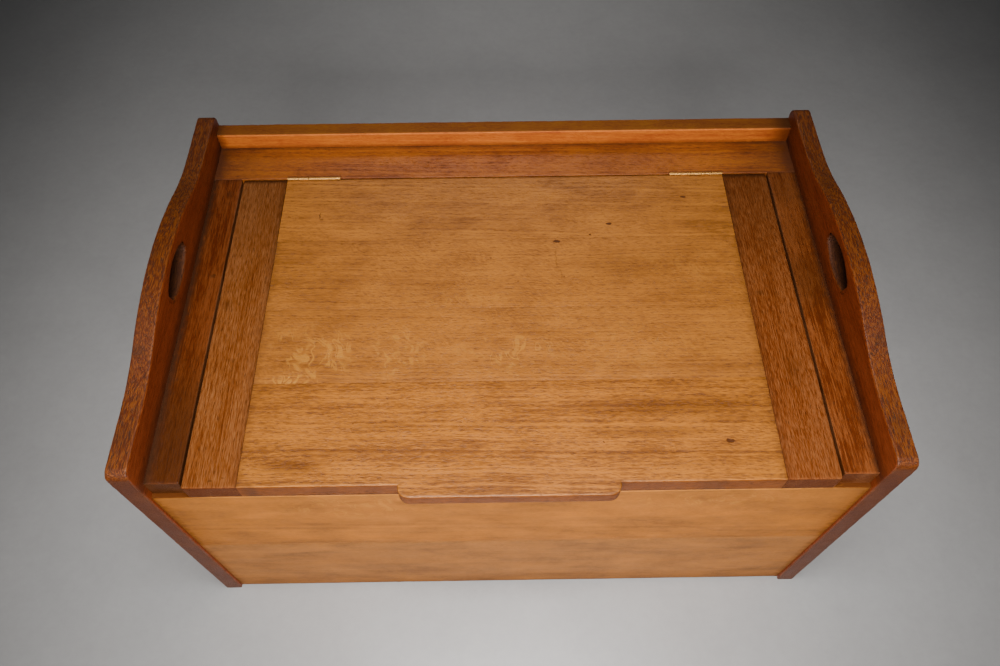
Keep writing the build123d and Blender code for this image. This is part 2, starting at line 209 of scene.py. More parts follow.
def distances(points, starts, ends):
    """Distance from each point to each segment."""
    along = ends - starts
    length = np.maximum((along**2).sum(1), 1e-9)
    reach = points[:, None, :] - starts[None]
    share = np.clip((reach * along[None]).sum(2) / length, 0, 1)
    return np.linalg.norm(reach - share[..., None] * along[None], axis=2)


def inside_hole(hole, u, v):
    """Whether a point lies inside a hole's outline."""
    within = False
    for i, (here, _) in enumerate(hole):
        last = hole[i - 1][0]
        crosses = (here.y > v) != (last.y > v)
        if crosses and u < (last.x - here.x) * (v - here.y) / (last.y - here.y) + here.x:
            within = not within
    return within


def wavering(outline, way, wear, dice):
    """The arris radius at both sides of each point, with waver and nicks where it is worn."""
    nicks = []
    pairs = []
    for i, (point, edge) in enumerate(outline):
        before = outline[i - 1][1]
        pairs.append([getattr(before, way), getattr(edge, way)])
        if edge.worn and dice.random() < NICK_CHANCE * edge.worn:
            nicks.append((point, dice.uniform(0.3, 1.0) * wear.nick_depth / MM, dice.uniform(1.2, 4.0)))
    for i, (point, edge) in enumerate(outline):
        worn = min(edge.worn, outline[i - 1][1].worn) if edge.worn else 0
        if not worn:
            continue
        # A long waver of about 19 mm and a short one of about 5 mm
        waver = 1 + 0.3 * noise.noise(Vector((*point, 7)) / 19) + 0.2 * noise.noise(Vector((*point, 3)) / 5)
        bite = sum(depth * math.exp(-(((point - at).length / width) ** 2)) for at, depth, width in nicks)
        pairs[i] = [radius * waver + bite if radius else 0 for radius in pairs[i]]
    return pairs


def moved_in(loop, i, before, after):
    """A loop's point, moved in by one distance from the edge before it and one from the edge after it."""
    point = loop[i][0]
    back = (point - loop[i - 1][0]).normalized()
    ahead = (loop[(i + 1) % len(loop)][0] - point).normalized()
    n_back, n_ahead = Vector((-back.y, back.x)), Vector((-ahead.y, ahead.x))
    cross = n_back.x * n_ahead.y - n_back.y * n_ahead.x
    if abs(cross) < 0.02:
        return point + n_back * (before + after) / 2
    shift = Vector((before * n_ahead.y - after * n_back.y, after * n_back.x - before * n_ahead.x))
    return point + shift / cross


def arris_rings(loop, radii, face, way, thickness):
    """One loop's rings, from down on its side to the inner line of its arris."""
    profile = [(0, 1, min(depth, share * thickness)) for depth, share in SIDE_RINGS]
    for k in range(ARC_STEPS + 1):
        turn = k / ARC_STEPS * math.pi / 2
        profile.append((1 - math.cos(turn), 1 - math.sin(turn), 0))

    def place(i, inset, drop, more):
        before, after = radii[i]
        depth = drop * (before + after) / 2 + more
        return (*moved_in(loop, i, inset * before, inset * after), face - way * depth)

    return [[place(i, *step) for i in range(len(loop))] for step in profile]


def face_points(starts, ends, grid, dice):
    """Points inside a face: a loose grid, and rows close to the outline."""
    low, high = starts.min(0), starts.max(0)
    columns, rows = (max(2, int(reach / grid)) for reach in high - low)
    loose = [
        (low[0] + (i + 0.5 + dice.uniform(-0.2, 0.2)) * (high[0] - low[0]) / columns,
         low[1] + (k + 0.5 + dice.uniform(-0.2, 0.2)) * (high[1] - low[1]) / rows)
        for i in range(columns) for k in range(rows)
    ]
    clear = distances(np.array(loose), starts, ends).min(1)
    kept = [point for point, away in zip(loose, clear) if away > GRID_MARGIN]
    normals = ends - starts
    normals = np.stack([-normals[:, 1], normals[:, 0]], 1) / np.linalg.norm(normals, axis=1)[:, None]
    for inset in FACE_ROWS:
        offset = (starts + ends) / 2 + normals * inset
        clear = distances(offset, starts, ends).min(1) > 0.97 * inset
        kept += [tuple(point) for point in offset[clear]]
    return kept


def worn_dirty_and_shaded(places, depth, starts, ends, edges, outer):
    """How worn each point is, with its painted highlight, and how dark with dirt and painted shade, by its
    distance from the edges.
    """
    worn_at = np.array([edge.worn for edge in edges])
    grime_and_shade_at = np.array([edge.grime for edge in edges])
    worn, grime = np.zeros(len(places)), np.zeros(len(places))
    for start in range(0, len(places), BATCH):
        part = slice(start, start + BATCH)
        flat = distances(places[part, :2], starts, ends)
        away = np.hypot(flat, depth[part, None])
        worn[part] = (worn_at[None] * np.exp(-away / WORN_REACH)).max(1)
        # Dirt and painted shade go right through a hole, and stay near the face at an outer side
        away[:, outer:] = flat[:, outer:]
        grime[part] = (grime_and_shade_at[None] * np.exp(-away / GRIME_AND_SHADE_REACH)).max(1)
    return worn, grime


def board(name, outline, axis, low, high, wear, seed, holes=(), grid=22.0):
    """A plank: an outline in mm, square to axis, from low to high, its arrises worn."""
    dice = random.Random(seed)
    loops = [divided(loop) for loop in (outline, *holes)]
    starts = np.array([point for loop in loops for point, _ in loop])
    ends = np.array([loop[(i + 1) % len(loop)][0] for loop in loops for i in range(len(loop))])
    edges = [edge for loop in loops for _, edge in loop]
    points, faces = [], []

    def numbered(places):
        first = len(points)
        points.extend(places)
        return list(range(first, len(points)))

    def band(lower, upper):
        for i, here in enumerate(lower):
            j = (i + 1) % len(lower)
            faces.append((here, lower[j], upper[j], upper[i]))

    walls = []
    for face, way, kind in ((high, 1, "high"), (low, -1, "low")):
        stacks = []
        for loop in loops:
            radii = wavering(loop, kind, wear, dice)
            stacks.append([numbered(ring) for ring in arris_rings(loop, radii, face, way, high - low)])
        for stack in stacks:
            for lower, upper in zip(stack, stack[1:]):
                band(lower, upper)
        for wall, stack in zip(walls, stacks):
            band(wall, stack[0])
        walls = [stack[0] for stack in stacks]
        rim = [i for stack in stacks for i in stack[-1]]
        links, first = [], 0
        for stack in stacks:
            count = len(stack[-1])
            links += [(first + i, first + (i + 1) % count) for i in range(count)]
            first += count
        inner = face_points(starts, ends, grid, dice)
        flat = [Vector(points[i][:2]) for i in rim] + [Vector(point) for point in inner]
        _, _, triangles, sources, _, _ = delaunay_2d_cdt(flat, links, [], 1, 1e-5)
        placed = rim + numbered((*point, face) for point in inner)
        spots = [placed[source[0]] for source in sources]
        for triangle in triangles:
            u, v = (sum(points[spots[i]][k] for i in triangle) / 3 for k in (0, 1))
            if not any(inside_hole(hole, u, v) for hole in holes):
                faces.append(tuple(spots[i] for i in triangle))

    places = np.array(points)
    depth = np.minimum(abs(places[:, 2] - high), abs(places[:, 2] - low))
    worn, grime = worn_dirty_and_shaded(places, depth, starts, ends, edges, len(loops[0]))
    sink = wear.unevenness / MM
    middle = (low + high) / 2
    # Planed faces swell and fall over about 90 mm along the board and 55 mm across it
    for i, (u, v, w) in enumerate(points):
        swell = 0.5 + 0.5 * noise.noise(Vector((u / 90, v / 55, seed * 3.1 + (w > middle))))
        places[i, 2] -= (sink * swell) * (1 if w > middle else -1) * (depth[i] < 3)
    order = {"X": (2, 0, 1), "Y": (0, 2, 1), "Z": (0, 1, 2)}[axis]
    return plain_mesh(name, places[:, order] * MM, faces, {"worn": worn, "grime": grime})


def in_scene(name, data):
    """A new object at the origin."""
    made = bpy.data.objects.new(name, data)
    bpy.context.scene.collection.objects.link(made)
    return made


def plain_mesh(name, places, faces, values=None):
    """An object from points in metres, its doubles merged and its faces outwards."""
    mesh = bpy.data.meshes.new(name)
    mesh.from_pydata([tuple(p) for p in places], [], faces)
    for label, numbers in (values or {}).items():
        mesh.attributes.new(label, "FLOAT", "POINT").data.foreach_set("value", np.array(numbers, np.float32))
    made = bmesh.new()
    made.from_mesh(mesh)
    bmesh.ops.remove_doubles(made, verts=made.verts, dist=2e-6)
    bmesh.ops.dissolve_degenerate(made, edges=made.edges, dist=1e-6)
    bmesh.ops.recalc_face_normals(made, faces=made.faces)
    made.to_mesh(mesh)
    made.free()
    mesh.polygons.foreach_set("use_smooth", [True] * len(mesh.polygons))
    mesh.set_sharp_from_angle(angle=math.radians(38))
    return in_scene(name, mesh)


def joined(name, *pieces):
    """Several finished pieces as one."""
    made = bmesh.new()
    for piece in pieces:
        made.from_mesh(piece.data)
    mesh = bpy.data.meshes.new(name)
    made.to_mesh(mesh)
    made.free()
    for piece in pieces:
        old = piece.data
        bpy.data.objects.remove(piece)
        bpy.data.meshes.remove(old)
    return in_scene(name, mesh)


def fit(piece, body, slot, material, node):
    """Gives a piece its material and its body, and hides the CAD node it stands for."""
    piece.data.materials.clear()
    piece.data.materials.append(material)
    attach(piece, body)
    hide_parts(node)


def dress(node, material):
    """Gives a CAD node a better material."""
    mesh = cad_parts[node].data
    for i in range(len(mesh.materials)):
        mesh.materials[i] = material
    if not mesh.materials:
        mesh.materials.append(material)


# Materials

# Short words for the nodes used most, each with the settings that go with it
KINDS = {
    "noise": ("ShaderNodeTexNoise", {}),
    "mix": ("ShaderNodeMix", {"data_type": "RGBA"}),
    "fade": ("ShaderNodeMapRange", {"interpolation_type": "SMOOTHSTEP"}),
    "power": ("ShaderNodeMath", {"operation": "POWER"}),
    "absolute": ("ShaderNodeMath", {"operation": "ABSOLUTE"}),
    "larger": ("ShaderNodeMath", {"operation": "MAXIMUM"}),
    "scaled": ("ShaderNodeVectorMath", {"operation": "SCALE"}),
    "length": ("ShaderNodeVectorMath", {"operation": "LENGTH"}),
}
for word, operation in {
    "plus": "ADD", "minus": "SUBTRACT", "times": "MULTIPLY", "over": "DIVIDE", "times plus": "MULTIPLY_ADD",
}.items():
    KINDS[word] = ("ShaderNodeMath", {"operation": operation})
    KINDS[f"vector {word}"] = ("ShaderNodeVectorMath", {"operation": operation})


def add(tree, kind, inputs=(), **settings):
    """Adds a node with its settings, and its inputs, by order or by name, as values or links."""
    kind, usual = KINDS.get(kind, (kind, {}))
    made = tree.nodes.new(kind)
    for label, value in (usual | settings).items():
        setattr(made, label, value)
    for key, value in inputs.items() if isinstance(inputs, dict) else enumerate(inputs):
        socket = made.inputs[key] if isinstance(key, int) else next(
            s for s in made.inputs if s.name == key and s.enabled
        )
        if isinstance(value, bpy.types.Node):
            value = next(s for s in value.outputs if s.enabled)
        if isinstance(value, bpy.types.NodeSocket):
            tree.links.new(value, socket)
        else:
            socket.default_value = value
    return made


def blank_material(name):
    material = bpy.data.materials.new(name)
    material.use_nodes = True
    material.node_tree.nodes.clear()
    return material, partial(add, material.node_tree)


FIGURE_INPUTS = (
    ("Board", "Vector", (0, 0, 0)), ("Pith across", "Float", 300), ("Pith depth", "Float", 0),
    ("Tilt", "Float", 0), ("Ring", "Float", 3), ("Contrast", "Float", 1), ("Fine", "Float", 1),
    ("Silk", "Float", 0), ("Mottle", "Float", 1), ("Pores", "Float", 1), ("Rays", "Float", 0),
    ("Marks", "Float", 0), ("End grain", "Float", 0), ("Shade", "Float", 0),
    ("Mid", "Color", (*hex_tone("#AA7C45"), 1)), ("Light", "Vector", (1.32, 1.4, 1.6)),
    ("Dark", "Vector", (0.62, 0.54, 0.44)),
)


def wood_figure():
    """The figure of sawn and waxed wood, in mm: rings, pores, ray fleck, wear and dirt, painted highlight
    and shade.
    """
    tree = bpy.data.node_groups.new("Wood figure", "ShaderNodeTree")
    for label, kind, default in FIGURE_INPUTS:
        socket = tree.interface.new_socket(label, in_out="INPUT", socket_type=f"NodeSocket{kind}")
        socket.default_value = default
    for label, kind in (("Colour", "Color"), ("Roughness", "Float"), ("Height", "Float")):
        tree.interface.new_socket(label, in_out="OUTPUT", socket_type=f"NodeSocket{kind}")
    new = partial(add, tree)
    given = new("NodeGroupInput").outputs
    whole = given["Board"]
    parts = new("ShaderNodeSeparateXYZ", (whole,)).outputs
    noises = {}

    def sample(*patterns):
        for label, source, size, detail, bend in patterns:
            noises[label] = new("noise", {
                "Vector": new("vector over", (source, size)), "Scale": 1.0, "Detail": detail,
                "Distortion": bend, "Roughness": 0.55,
            })

    # Each pattern's size is in mm: along the grain, across it and through the board
    sample(
        ("wander", whole, (210, 70, 70), 1, 0), ("ripple", whole, (38, 16, 16), 1, 0),
        ("mottle", whole, (110, 46, 60), 2, 0.6), ("cloud", whole, (30, 22, 22), 2, 0.4),
        ("bend", whole, (64, 36, 36), 1, 0), ("speckle", whole, (9, 5, 5), 2, 0),
        ("rubbed", whole, (150, 26, 26), 3, 0.3), ("drift", whole, (85, 48, 48), 2, 0.3),
    )
    # The grain wanders across the board
    sway = new("times plus", (noises["wander"], 12, -6))
    shake = new("times plus", (noises["ripple"], 3.2, -1.6))
    across = new("plus", (parts["Y"], new("plus", (sway, shake))))
    path = new("ShaderNodeCombineXYZ", (parts["X"], across, parts["Z"]))
    # Ray fleck lies across the grain, bent where it meets the surface
    slant = new("times plus", (parts["Y"], 0.3, parts["X"]))
    curl = new("times plus", (noises["bend"], 46, slant))
    ray_path = new("ShaderNodeCombineXYZ", (curl, parts["Y"], parts["Z"]))
    # Where the rays are cut nearly along themselves they show as fine slanted silk
    bent = new("vector times plus", (noises["bend"].outputs["Color"], (30, 30, 0), whole))
    silk_path = new("ShaderNodeMapping", {"Vector": bent, "Rotation": (0, 0, -0.55)}, vector_type="TEXTURE")
    # Open pores are drawn 1 mm across and fibres 1.5 mm, some three times the real width, so that they show
    sample(
        ("fibres", path, (9, 1.5, 1.5), 3, 0), ("streaks", path, (46, 4.6, 4.6), 2, 0.4),
        ("dashes", path, (6.5, 1.0, 1.0), 1, 0), ("flecks", ray_path, (14, 32, 20), 1, 0.4),
        ("silk", silk_path, (6.5, 1.7, 1.7), 1, 0),
    )
    # Growth rings about a pith that runs along the grain, a little out of true with the board
    level = new("times plus", (parts["X"], given["Tilt"], across))
    aside = new("minus", (level, given["Pith across"]))
    below = new("minus", (parts["Z"], given["Pith depth"]))
    square = new("times", (below, below))
    radius = new("power", (new("times plus", (aside, aside, square)), 0.5))
    count = new("over", (radius, given["Ring"]))
    rings = new("noise", {"W": count, "Scale": 1.0, "Detail": 2.0}, noise_dimensions="1D")
    broad = new("noise", {"W": count, "Scale": 0.16, "Detail": 1.0}, noise_dimensions="1D")

    # Pores are open in the early wood of each ring, and rays show in drifts
    early = new("fade", (rings, 0.4, 0.62, 1.0, 0.3))
    pores = new("fade", (noises["dashes"], 0.52, 0.66, 0.0, 1.0))
    pores = new("times", (new("times", (pores, early)), given["Pores"]))
    off = new("absolute", (new("minus", (noises["flecks"], 0.5)),))
    curls = new("fade", (off, 0.01, 0.038, 1.0, 0.0))
    blots = new("fade", (noises["flecks"], 0.58, 0.63, 0.0, 1.0))
    drifts = new("fade", (noises["cloud"], 0.4, 0.54, 0.0, 1.0))
    fleck = new("times", (new("larger", (curls, blots)), drifts))
    fleck = new("times", (fleck, given["Rays"]))

    # The tone is 0 at the darkest, 0.5 at the middle colour and 1 at the lightest
    grain = new("times plus", (rings, 1.2, -0.95))
    grain = new("times plus", (broad, 0.7, grain))
    patches = new("fade", (noises["drift"], 0.38, 0.62, 0.0, 1.0))
    silky = new("times", (patches, given["Silk"]))
    plain = new("times plus", (patches, -0.8, 1.4))
    plain = new("times", (plain, given["Contrast"]))
    tone = new("times plus", (grain, plain, 0.5))
    for pattern, size, share in (
        ("fibres", 1.5, given["Fine"]), ("streaks", 1.1, given["Contrast"]), ("silk", 1.9, silky),
        ("mottle", 1.5, given["Mottle"]), ("cloud", 0.6, given["Mottle"]),
    ):
        centred = new("times plus", (noises[pattern], size, -size / 2))
        tone = new("times plus", (centred, share, tone))
    tone = new("times plus", (given["End grain"], -0.45, tone))
    lower = new("times", (tone, 2.0), use_clamp=True)
    upper = new("times plus", (tone, 2.0, -1.0), use_clamp=True)
    paints = {
        label: new("vector times", (given["Mid"], shares)) for label, shares in (
            ("light", given["Light"]), ("dark", given["Dark"]),
            # The worn paint is rubbed pale wood, and also a painted highlight along the arrises
            ("worn", (1.7, 1.95, 2.5)), ("ray", (1.42, 1.66, 1.6)),
        )
    }
    # Wax and dust in the pores dry to the same brown on every board, and the dirt and painted shade in
    # corners take the same brown
    wax_and_shade_brown = hex_tone("#1F1305")
    paints["deep"] = new("vector times plus", (given["Mid"], (0.19, 0.12, 0.07), wax_and_shade_brown))
    colour = new("mix", {"Factor": lower, "A": paints["dark"], "B": given["Mid"]})
    colour = new("mix", {"Factor": upper, "A": colour, "B": paints["light"]})

    # Arrises are rubbed bright in patches, which also paints a highlight along them, and dirt and painted
    # shade darken the corners
    worn = new("ShaderNodeAttribute", attribute_name="worn").outputs["Fac"]
    patchy = new("times plus", (noises["speckle"], 0.8, worn))
    worn = new("times", (worn, new("fade", (patchy, 0.55, 1.0, 0.0, 0.65))))
    grime = new("ShaderNodeAttribute", attribute_name="grime").outputs["Fac"]
    patchy = new("fade", (noises["speckle"], 0.2, 0.6, 0.55, 0.9))
    grime = new("times", (new("plus", (grime, given["Shade"])), patchy), use_clamp=True)
    for share, paint in (
        (new("times", (pores, 0.5)), "deep"), (fleck, "ray"), (worn, "worn"), (grime, "deep"),
        (given["Marks"], "deep"),
    ):
        colour = new("mix", {"Factor": share, "A": colour, "B": paints[paint]})

    rough = new("times plus", (noises["rubbed"], 0.2, 0.22))
    for cause, more in ((pores, 0.16), (fleck, -0.08), (grime, 0.35)):
        rough = new("times plus", (cause, more, rough))
    height = new("times", (noises["fibres"], 0.22))
    for cause, more in ((rings, 0.18), (pores, -0.8), (given["Marks"], -0.5)):
        height = new("times plus", (cause, more, height))
    new("NodeGroupOutput", (colour, rough, height))
    return tree


def wood(
    name, mid, grain, across, start, size=(1, 1), pith=(300, 0), tilt=0.01, ring=3.0, contrast=1.0,
    fine=1.0, silk=0.3, mottle=1.0, pores=1.0, rays=(), stains_and_shade=(), dirt_and_shade=(), narrow=None, matt=0.0,
    gloss=0.2, plane="XY", lean=(1.1, 0.9),
):
    """Waxed wood with its grain along one axis and its face along another, in mm.

    marks are dark places (x, y, half length, half width, soft, strength): stains, and in
    some places painted shade. rays are places with ray fleck, given in the same way, and
    shades are darkened bands (axis faced and which way, axis measured, place, width,
    strength): dirt in joints, painted shade in corners and along gaps, and broad darkening
    towards one end of some boards. narrow is the axis through the board and the tone of
    the board's narrow faces. matt is added to the roughness, gloss is the strength of the
    shine, size is how large the figure is along the grain and across it, plane is the two
    axes the marks are measured on, and lean is how much faster green and blue change than
    red from dark to light grain.
    """
    material, new = blank_material(name)
    where = new("ShaderNodeTexCoord").outputs
    place = new("scaled", {0: where["Object"], "Scale": 1 / MM})
    parts = new("ShaderNodeSeparateXYZ", (place,)).outputs
    through = next(axis for axis in "XYZ" if axis not in (grain, across))
    turned = new("ShaderNodeCombineXYZ", (parts[grain], parts[across], parts[through]))
    moved = new("vector minus", (turned, start))
    moved = new("vector over", (moved, (size[0], size[1], size[1])))
    facing = new("ShaderNodeSeparateXYZ", (where["Normal"],)).outputs
    end_grain = new("power", (new("absolute", (facing[grain],)), 3))
    # Stains and painted shade have ragged outlines, which stray by up to about 2.5 mm
    drift = new("noise", {"Vector": place, "Scale": 0.22, "Detail": 2.0})
    loose = new("vector times plus", (drift.outputs["Color"], (5, 4, 4), place))
    found = {}
    for label, places in (("Marks", stains_and_shade), ("Rays", rays)):
        total = 0.0
        for x, y, half_x, half_y, soft, strength in places:
            spot = {"Location": (x + 2.5, y + 2, 0), "Scale": (half_x, half_y, 1e6)}
            if plane == "XZ":
                spot = {"Location": (x + 2.5, 0, y + 2), "Scale": (half_x, 1e6, half_y)}
            centred = new("ShaderNodeMapping", {"Vector": loose, **spot}, vector_type="TEXTURE")
            away = new("length", (centred,)).outputs["Value"]
            mark = new("fade", (away, 1 - soft, 1 + soft / 2, strength, 0))
            total = new("larger", (mark, total))
        found[label] = total
    shade = 0.0
    for faced, way, axis, at, width, strength in dirt_and_shade:
        away = new("absolute", (new("minus", (parts[axis], at)),))
        near = new("fade", (away, 0, width, strength, 0))
        seen = new("times", (facing[faced], way), use_clamp=True)
        shade = new("times plus", (near, seen, shade))
    base = (*mid, 1)
    dull = matt
    if narrow:
        axis, tone = narrow
        flat = new("absolute", (facing[axis],))
        edge = new("ShaderNodeMapRange", (flat, *((0.8, 0.97) if axis == "X" else (0.45, 0.8)), 1.0, 0.0))
        base = new("mix", {"Factor": edge, "A": base, "B": (*tone, 1)})
        contrast = new("times plus", (edge, -0.7 * contrast, contrast))
        dull = new("times plus", (edge, 0.12, matt))
        # The ends' narrow faces are sawn across the figure, so it is stronger there
        if axis == "X":
            fine, mottle, pores = (
                new("times plus", (edge, more * share, share))
                for share, more in ((fine, 2.2), (mottle, 3.2), (pores, 1.3))
            )
    figure = new("ShaderNodeGroup", {
        "Board": moved, "Pith across": pith[0], "Pith depth": pith[1], "Tilt": tilt, "Ring": ring,
        "Contrast": contrast, "Fine": fine, "Silk": silk, "Mottle": mottle, "Pores": pores, **found,
        "End grain": end_grain, "Shade": shade, "Mid": base,
        "Light": tuple(1.32**power for power in (1, *lean)),
        "Dark": tuple(0.62**power for power in (1, *lean)),
    }, node_tree=bpy.data.node_groups.get("Wood figure") or wood_figure()).outputs
    bump = new("ShaderNodeBump", {"Strength": 0.55, "Distance": 0.35 * MM, "Height": figure["Height"]})
    shader = new("ShaderNodeBsdfPrincipled", {
        "Base Color": figure["Colour"], "Roughness": new("plus", (figure["Roughness"], dull)), "IOR": 1.5,
        "Specular IOR Level": gloss, "Normal": bump,
    })
    new("ShaderNodeOutputMaterial", {"Surface": shader})
    return material


def scaled_tone(colour, shares):
    return (*(min(1.0, c * s) for c, s in zip(colour, shares)), 1)


def metal(name, tone, rough, scratch, dull):
    """Bare metal with fine scratches, drawn scratch mm apart, and a dull film in patches."""
    material, new = blank_material(name)
    where = new("ShaderNodeTexCoord").outputs
    place = new("scaled", {0: where["Object"], "Scale": 1 / MM})
    drawn = new("vector over", (place, (14, scratch, scratch)))
    lines = new("noise", {"Vector": drawn, "Scale": 1.0, "Detail": 3.0})
    # The film lies in patches of about 8 mm
    film = new("noise", {"Vector": place, "Scale": 0.12, "Detail": 4.0, "Roughness": 0.65})
    patch = new("fade", (film, 0.45, 0.68, 0, dull))
    filmed = scaled_tone(tone, (0.42, 0.34, 0.26))
    colour = new("mix", {"Factor": patch, "A": (*tone, 1), "B": filmed})
    bump = new("ShaderNodeBump", {"Strength": 0.15, "Distance": 0.05 * MM, "Height": lines})
    shader = new("ShaderNodeBsdfPrincipled", {
        "Base Color": colour, "Metallic": 1.0, "Roughness": new("times plus", (patch, 0.3, rough)),
        "Normal": bump,
    })
    new("ShaderNodeOutputMaterial", {"Surface": shader})
    return material


def concrete(name, tone):
    """Sealed concrete, trowelled: even, nearly matt and a little cloudy."""
    material, new = blank_material(name)
    where = new("ShaderNodeTexCoord").outputs["Object"]
    # Clouds of about 170 mm and scuffs of 14 mm, over a grit drawn at 2.5 mm so that it shows
    cloud = new("noise", {"Vector": where, "Scale": 6.0, "Detail": 12.0, "Roughness": 0.82})
    scuffs = new("noise", {"Vector": where, "Scale": 70.0, "Detail": 4.0, "Roughness": 0.6})
    cloud = new("times plus", (scuffs, 0.35, new("minus", (cloud, 0.18))))
    colour = new("mix", {
        "Factor": cloud, "A": scaled_tone(tone, (0.8,) * 3), "B": scaled_tone(tone, (1.16,) * 3),
    })
    grit = new("noise", {"Vector": where, "Scale": 400.0, "Detail": 3.0})
    bump = new("ShaderNodeBump", {"Strength": 0.1, "Distance": 0.2 * MM, "Height": grit})
    shader = new("ShaderNodeBsdfPrincipled", {"Base Color": colour, "Roughness": 0.32, "Normal": bump})
    new("ShaderNodeOutputMaterial", {"Surface": shader})
    return material


# Lines of the chest, in mm

SIDES = (("left", -1), ("right", 1))
CLAMP_LOW, CLAMP_HIGH = corners("left_lid_clamp")
# The inner faces of the ends, and the joints of the lid's boards with the clamps
INNER_X = -corners("left_top_strip")[0].x
CLAMP_INNER_X = -CLAMP_HIGH.x
LID_BOTTOM, LID_TOP = CLAMP_LOW.z, CLAMP_HIGH.z
LID_FRONT, LID_BACK = CLAMP_LOW.y, 197.0
# The rail runs from just behind the lid to the face of the gallery
RAIL_FRONT, RAIL_BACK = 198.6, 262.0
# Where the strips shade the top edge of the front wall
STRIP_X = 410
TAB_LEFT, TAB_RIGHT = -130.6, 124.4
TAB_CORNER = 13.0
TAB_BOTTOM = LID_TOP - 22.0
LID_CORNER = 3.0
# The ends' top: a hump between two hollows, level at the shoulders
SHOULDER_Z, CREST_Y = 457.5, 5.35
HUMP_HALF, HOLLOW_RUN = 200.0, 85.0
CREST_STEP = 4
END_CORNER = 11.0
HOLE_Z, HOLE_LENGTH, HOLE_HEIGHT, HOLE_END = 453.5, 85.0, 33.0, 9.0


class CHEST_OT_lid(bpy.types.Operator):
    """Make the lid: four boards with a finger tab, and the clamps across their ends"""

    bl_idname = "chest.lid"
    bl_label = "Lid"
    bl_options = {"REGISTER", "UNDO"}

    def execute(self, context):
        finish, wear = context.scene.chest_finish, context.scene.chest_wear
        arris = wear.lid_arris / MM
        # The lid's worn arrises are rubbed pale, and the pale paint along them is also a painted highlight
        worn = Edge(arris, 1.0, 0.6, 0)
        seam = Edge(0, 0, 0, 0)
        butt = Edge(0.25, 0.2, 0, 0.55)
        x = CLAMP_INNER_X

        # The front board is made in two layers, because the tab is thinner than the lid
        low, high = corners("lid_board_1")
        lip = worn._replace(low=0)
        tab_lip = worn._replace(high=arris + 0.2, low=2.5)
        tab = rectangle((TAB_LEFT, low.y), (TAB_RIGHT, LID_FRONT), tab_lip, tab_lip, tab_lip, tab_lip)
        outline = [
            (Vector((-x, LID_FRONT)), lip), (Vector((TAB_LEFT, LID_FRONT)), lip),
            *rounded(tab, {0: TAB_CORNER, 1: TAB_CORNER}, 10)[:-2],
            (Vector((TAB_RIGHT, LID_FRONT)), lip), (Vector((x, LID_FRONT)), butt._replace(low=0)),
            (Vector((x, high.y)), JOINT), (Vector((-x, high.y)), butt),
        ]
        upper = board("upper", outline, "Z", TAB_BOTTOM, LID_TOP, wear, 11)
        under_lip = seam._replace(low=1.0, worn=0.4)
        outline = rectangle((-x, LID_FRONT), (x, high.y), under_lip, seam, seam, seam)
        lower = board("lower", outline, "Z", LID_BOTTOM, TAB_BOTTOM, wear, 12)
        # Waxed oak, sawn between the rift and the quarter and planed: the grain runs straight in
        # fine dark dashes, the wax shines softly, and years of use have left spots and dull smears
        fit(joined("front_lid_plank", upper, lower), "lid", "lid_oak", wood(
            "Waxed oak, front lid board", finish.lid_front, "X", "Y", (37, -190, 400), pith=(-420, 35),
            ring=4.2, contrast=1.2, fine=1.7, silk=0.35, mottle=0.75, pores=1.2,
            narrow=("Z", finish.lid_edge),
            stains_and_shade=(
                (-255, -245, 40, 9, 0.9, 0.58), (256, -221, 5.5, 3.2, 0.3, 1.0),
                (108, -220, 1.6, 1.3, 0.4, 0.8), (-169, -260, 4, 1.3, 0.4, 0.6),
                (-152, -261, 3.5, 1.3, 0.4, 0.6), (-185, -258, 1.3, 1.2, 0.5, 0.55),
                (200, -175, 110, 15, 0.95, 0.48), (0, -262, 60, 14, 0.95, 0.16),
                (-150, -195, 50, 8, 0.95, 0.22), (-30, -197, 40, 7, 0.95, 0.25),
                (-200, -228, 60, 5, 0.95, 0.2), (165, -208, 75, 8, 0.95, 0.5),
                (270, -190, 60, 6, 0.95, 0.3), (150, -235, 70, 5, 0.95, 0.26),
                (205, -250, 60, 7, 0.95, 0.22), (-300, -270, 9, 6, 0.8, 0.45),
                (-215, -270, 14, 4, 0.8, 0.3), (230, -270, 20, 4, 0.8, 0.3),
                (124, -271, 6, 5, 0.8, 0.4),
            ),
        ), "lid_board_1")

        # The second board, and part of the third, are cut on the quarter, where rays show as pale fleck
        for number, name, pith, ring, silk, rays, stains_and_shade in (
            (2, "fleck_lid_plank", (-700, 3), 3.0, 0.45, (
                (-245, -92, 64, 42, 0.6, 0.75), (-258, -132, 46, 10, 0.5, 1.0),
                (-138, -95, 34, 38, 0.6, 0.7), (0, -98, 66, 36, 0.7, 0.65),
                (150, -90, 150, 50, 0.8, 0.2),
            ), (
                (-230, -45, 46, 20, 0.95, 0.12),
            )),
            (3, "middle_lid_plank", (380, -50), 2.6, 0.5, (
                (-60, -12, 90, 14, 0.8, 0.3), (240, 30, 120, 40, 0.9, 0.2),
            ), (
                (150, 32, 70, 34, 0.95, 0.22), (75, 19, 1.6, 1.3, 0.4, 0.7),
                (66, 48, 1.2, 16, 0.5, 0.35), (72, 22, 1.0, 10, 0.5, 0.3),
                (-22, 51, 1.6, 1.5, 0.4, 0.6), (14, 12, 1.5, 1.3, 0.4, 0.5),
                (190, 26, 1.3, 1.2, 0.4, 0.5), (68, 78, 5.5, 3.2, 0.3, 1.0),
            )),
        ):
            node = f"lid_board_{number}"
            low, high = corners(node)
            outline = rectangle((-x, low.y), (x, high.y), JOINT, butt, JOINT, butt)
            plank = board(name, outline, "Z", LID_BOTTOM, LID_TOP, wear, 12 + number)
            fit(plank, "lid", "lid_oak", wood(
                f"Waxed oak, lid board {number}", finish.lid, "X", "Y", (-61 * number, 90, 400), pith=pith,
                ring=ring, contrast=0.38, fine=0.8, silk=silk, mottle=0.8, rays=rays, stains_and_shade=stains_and_shade,
            ), node)
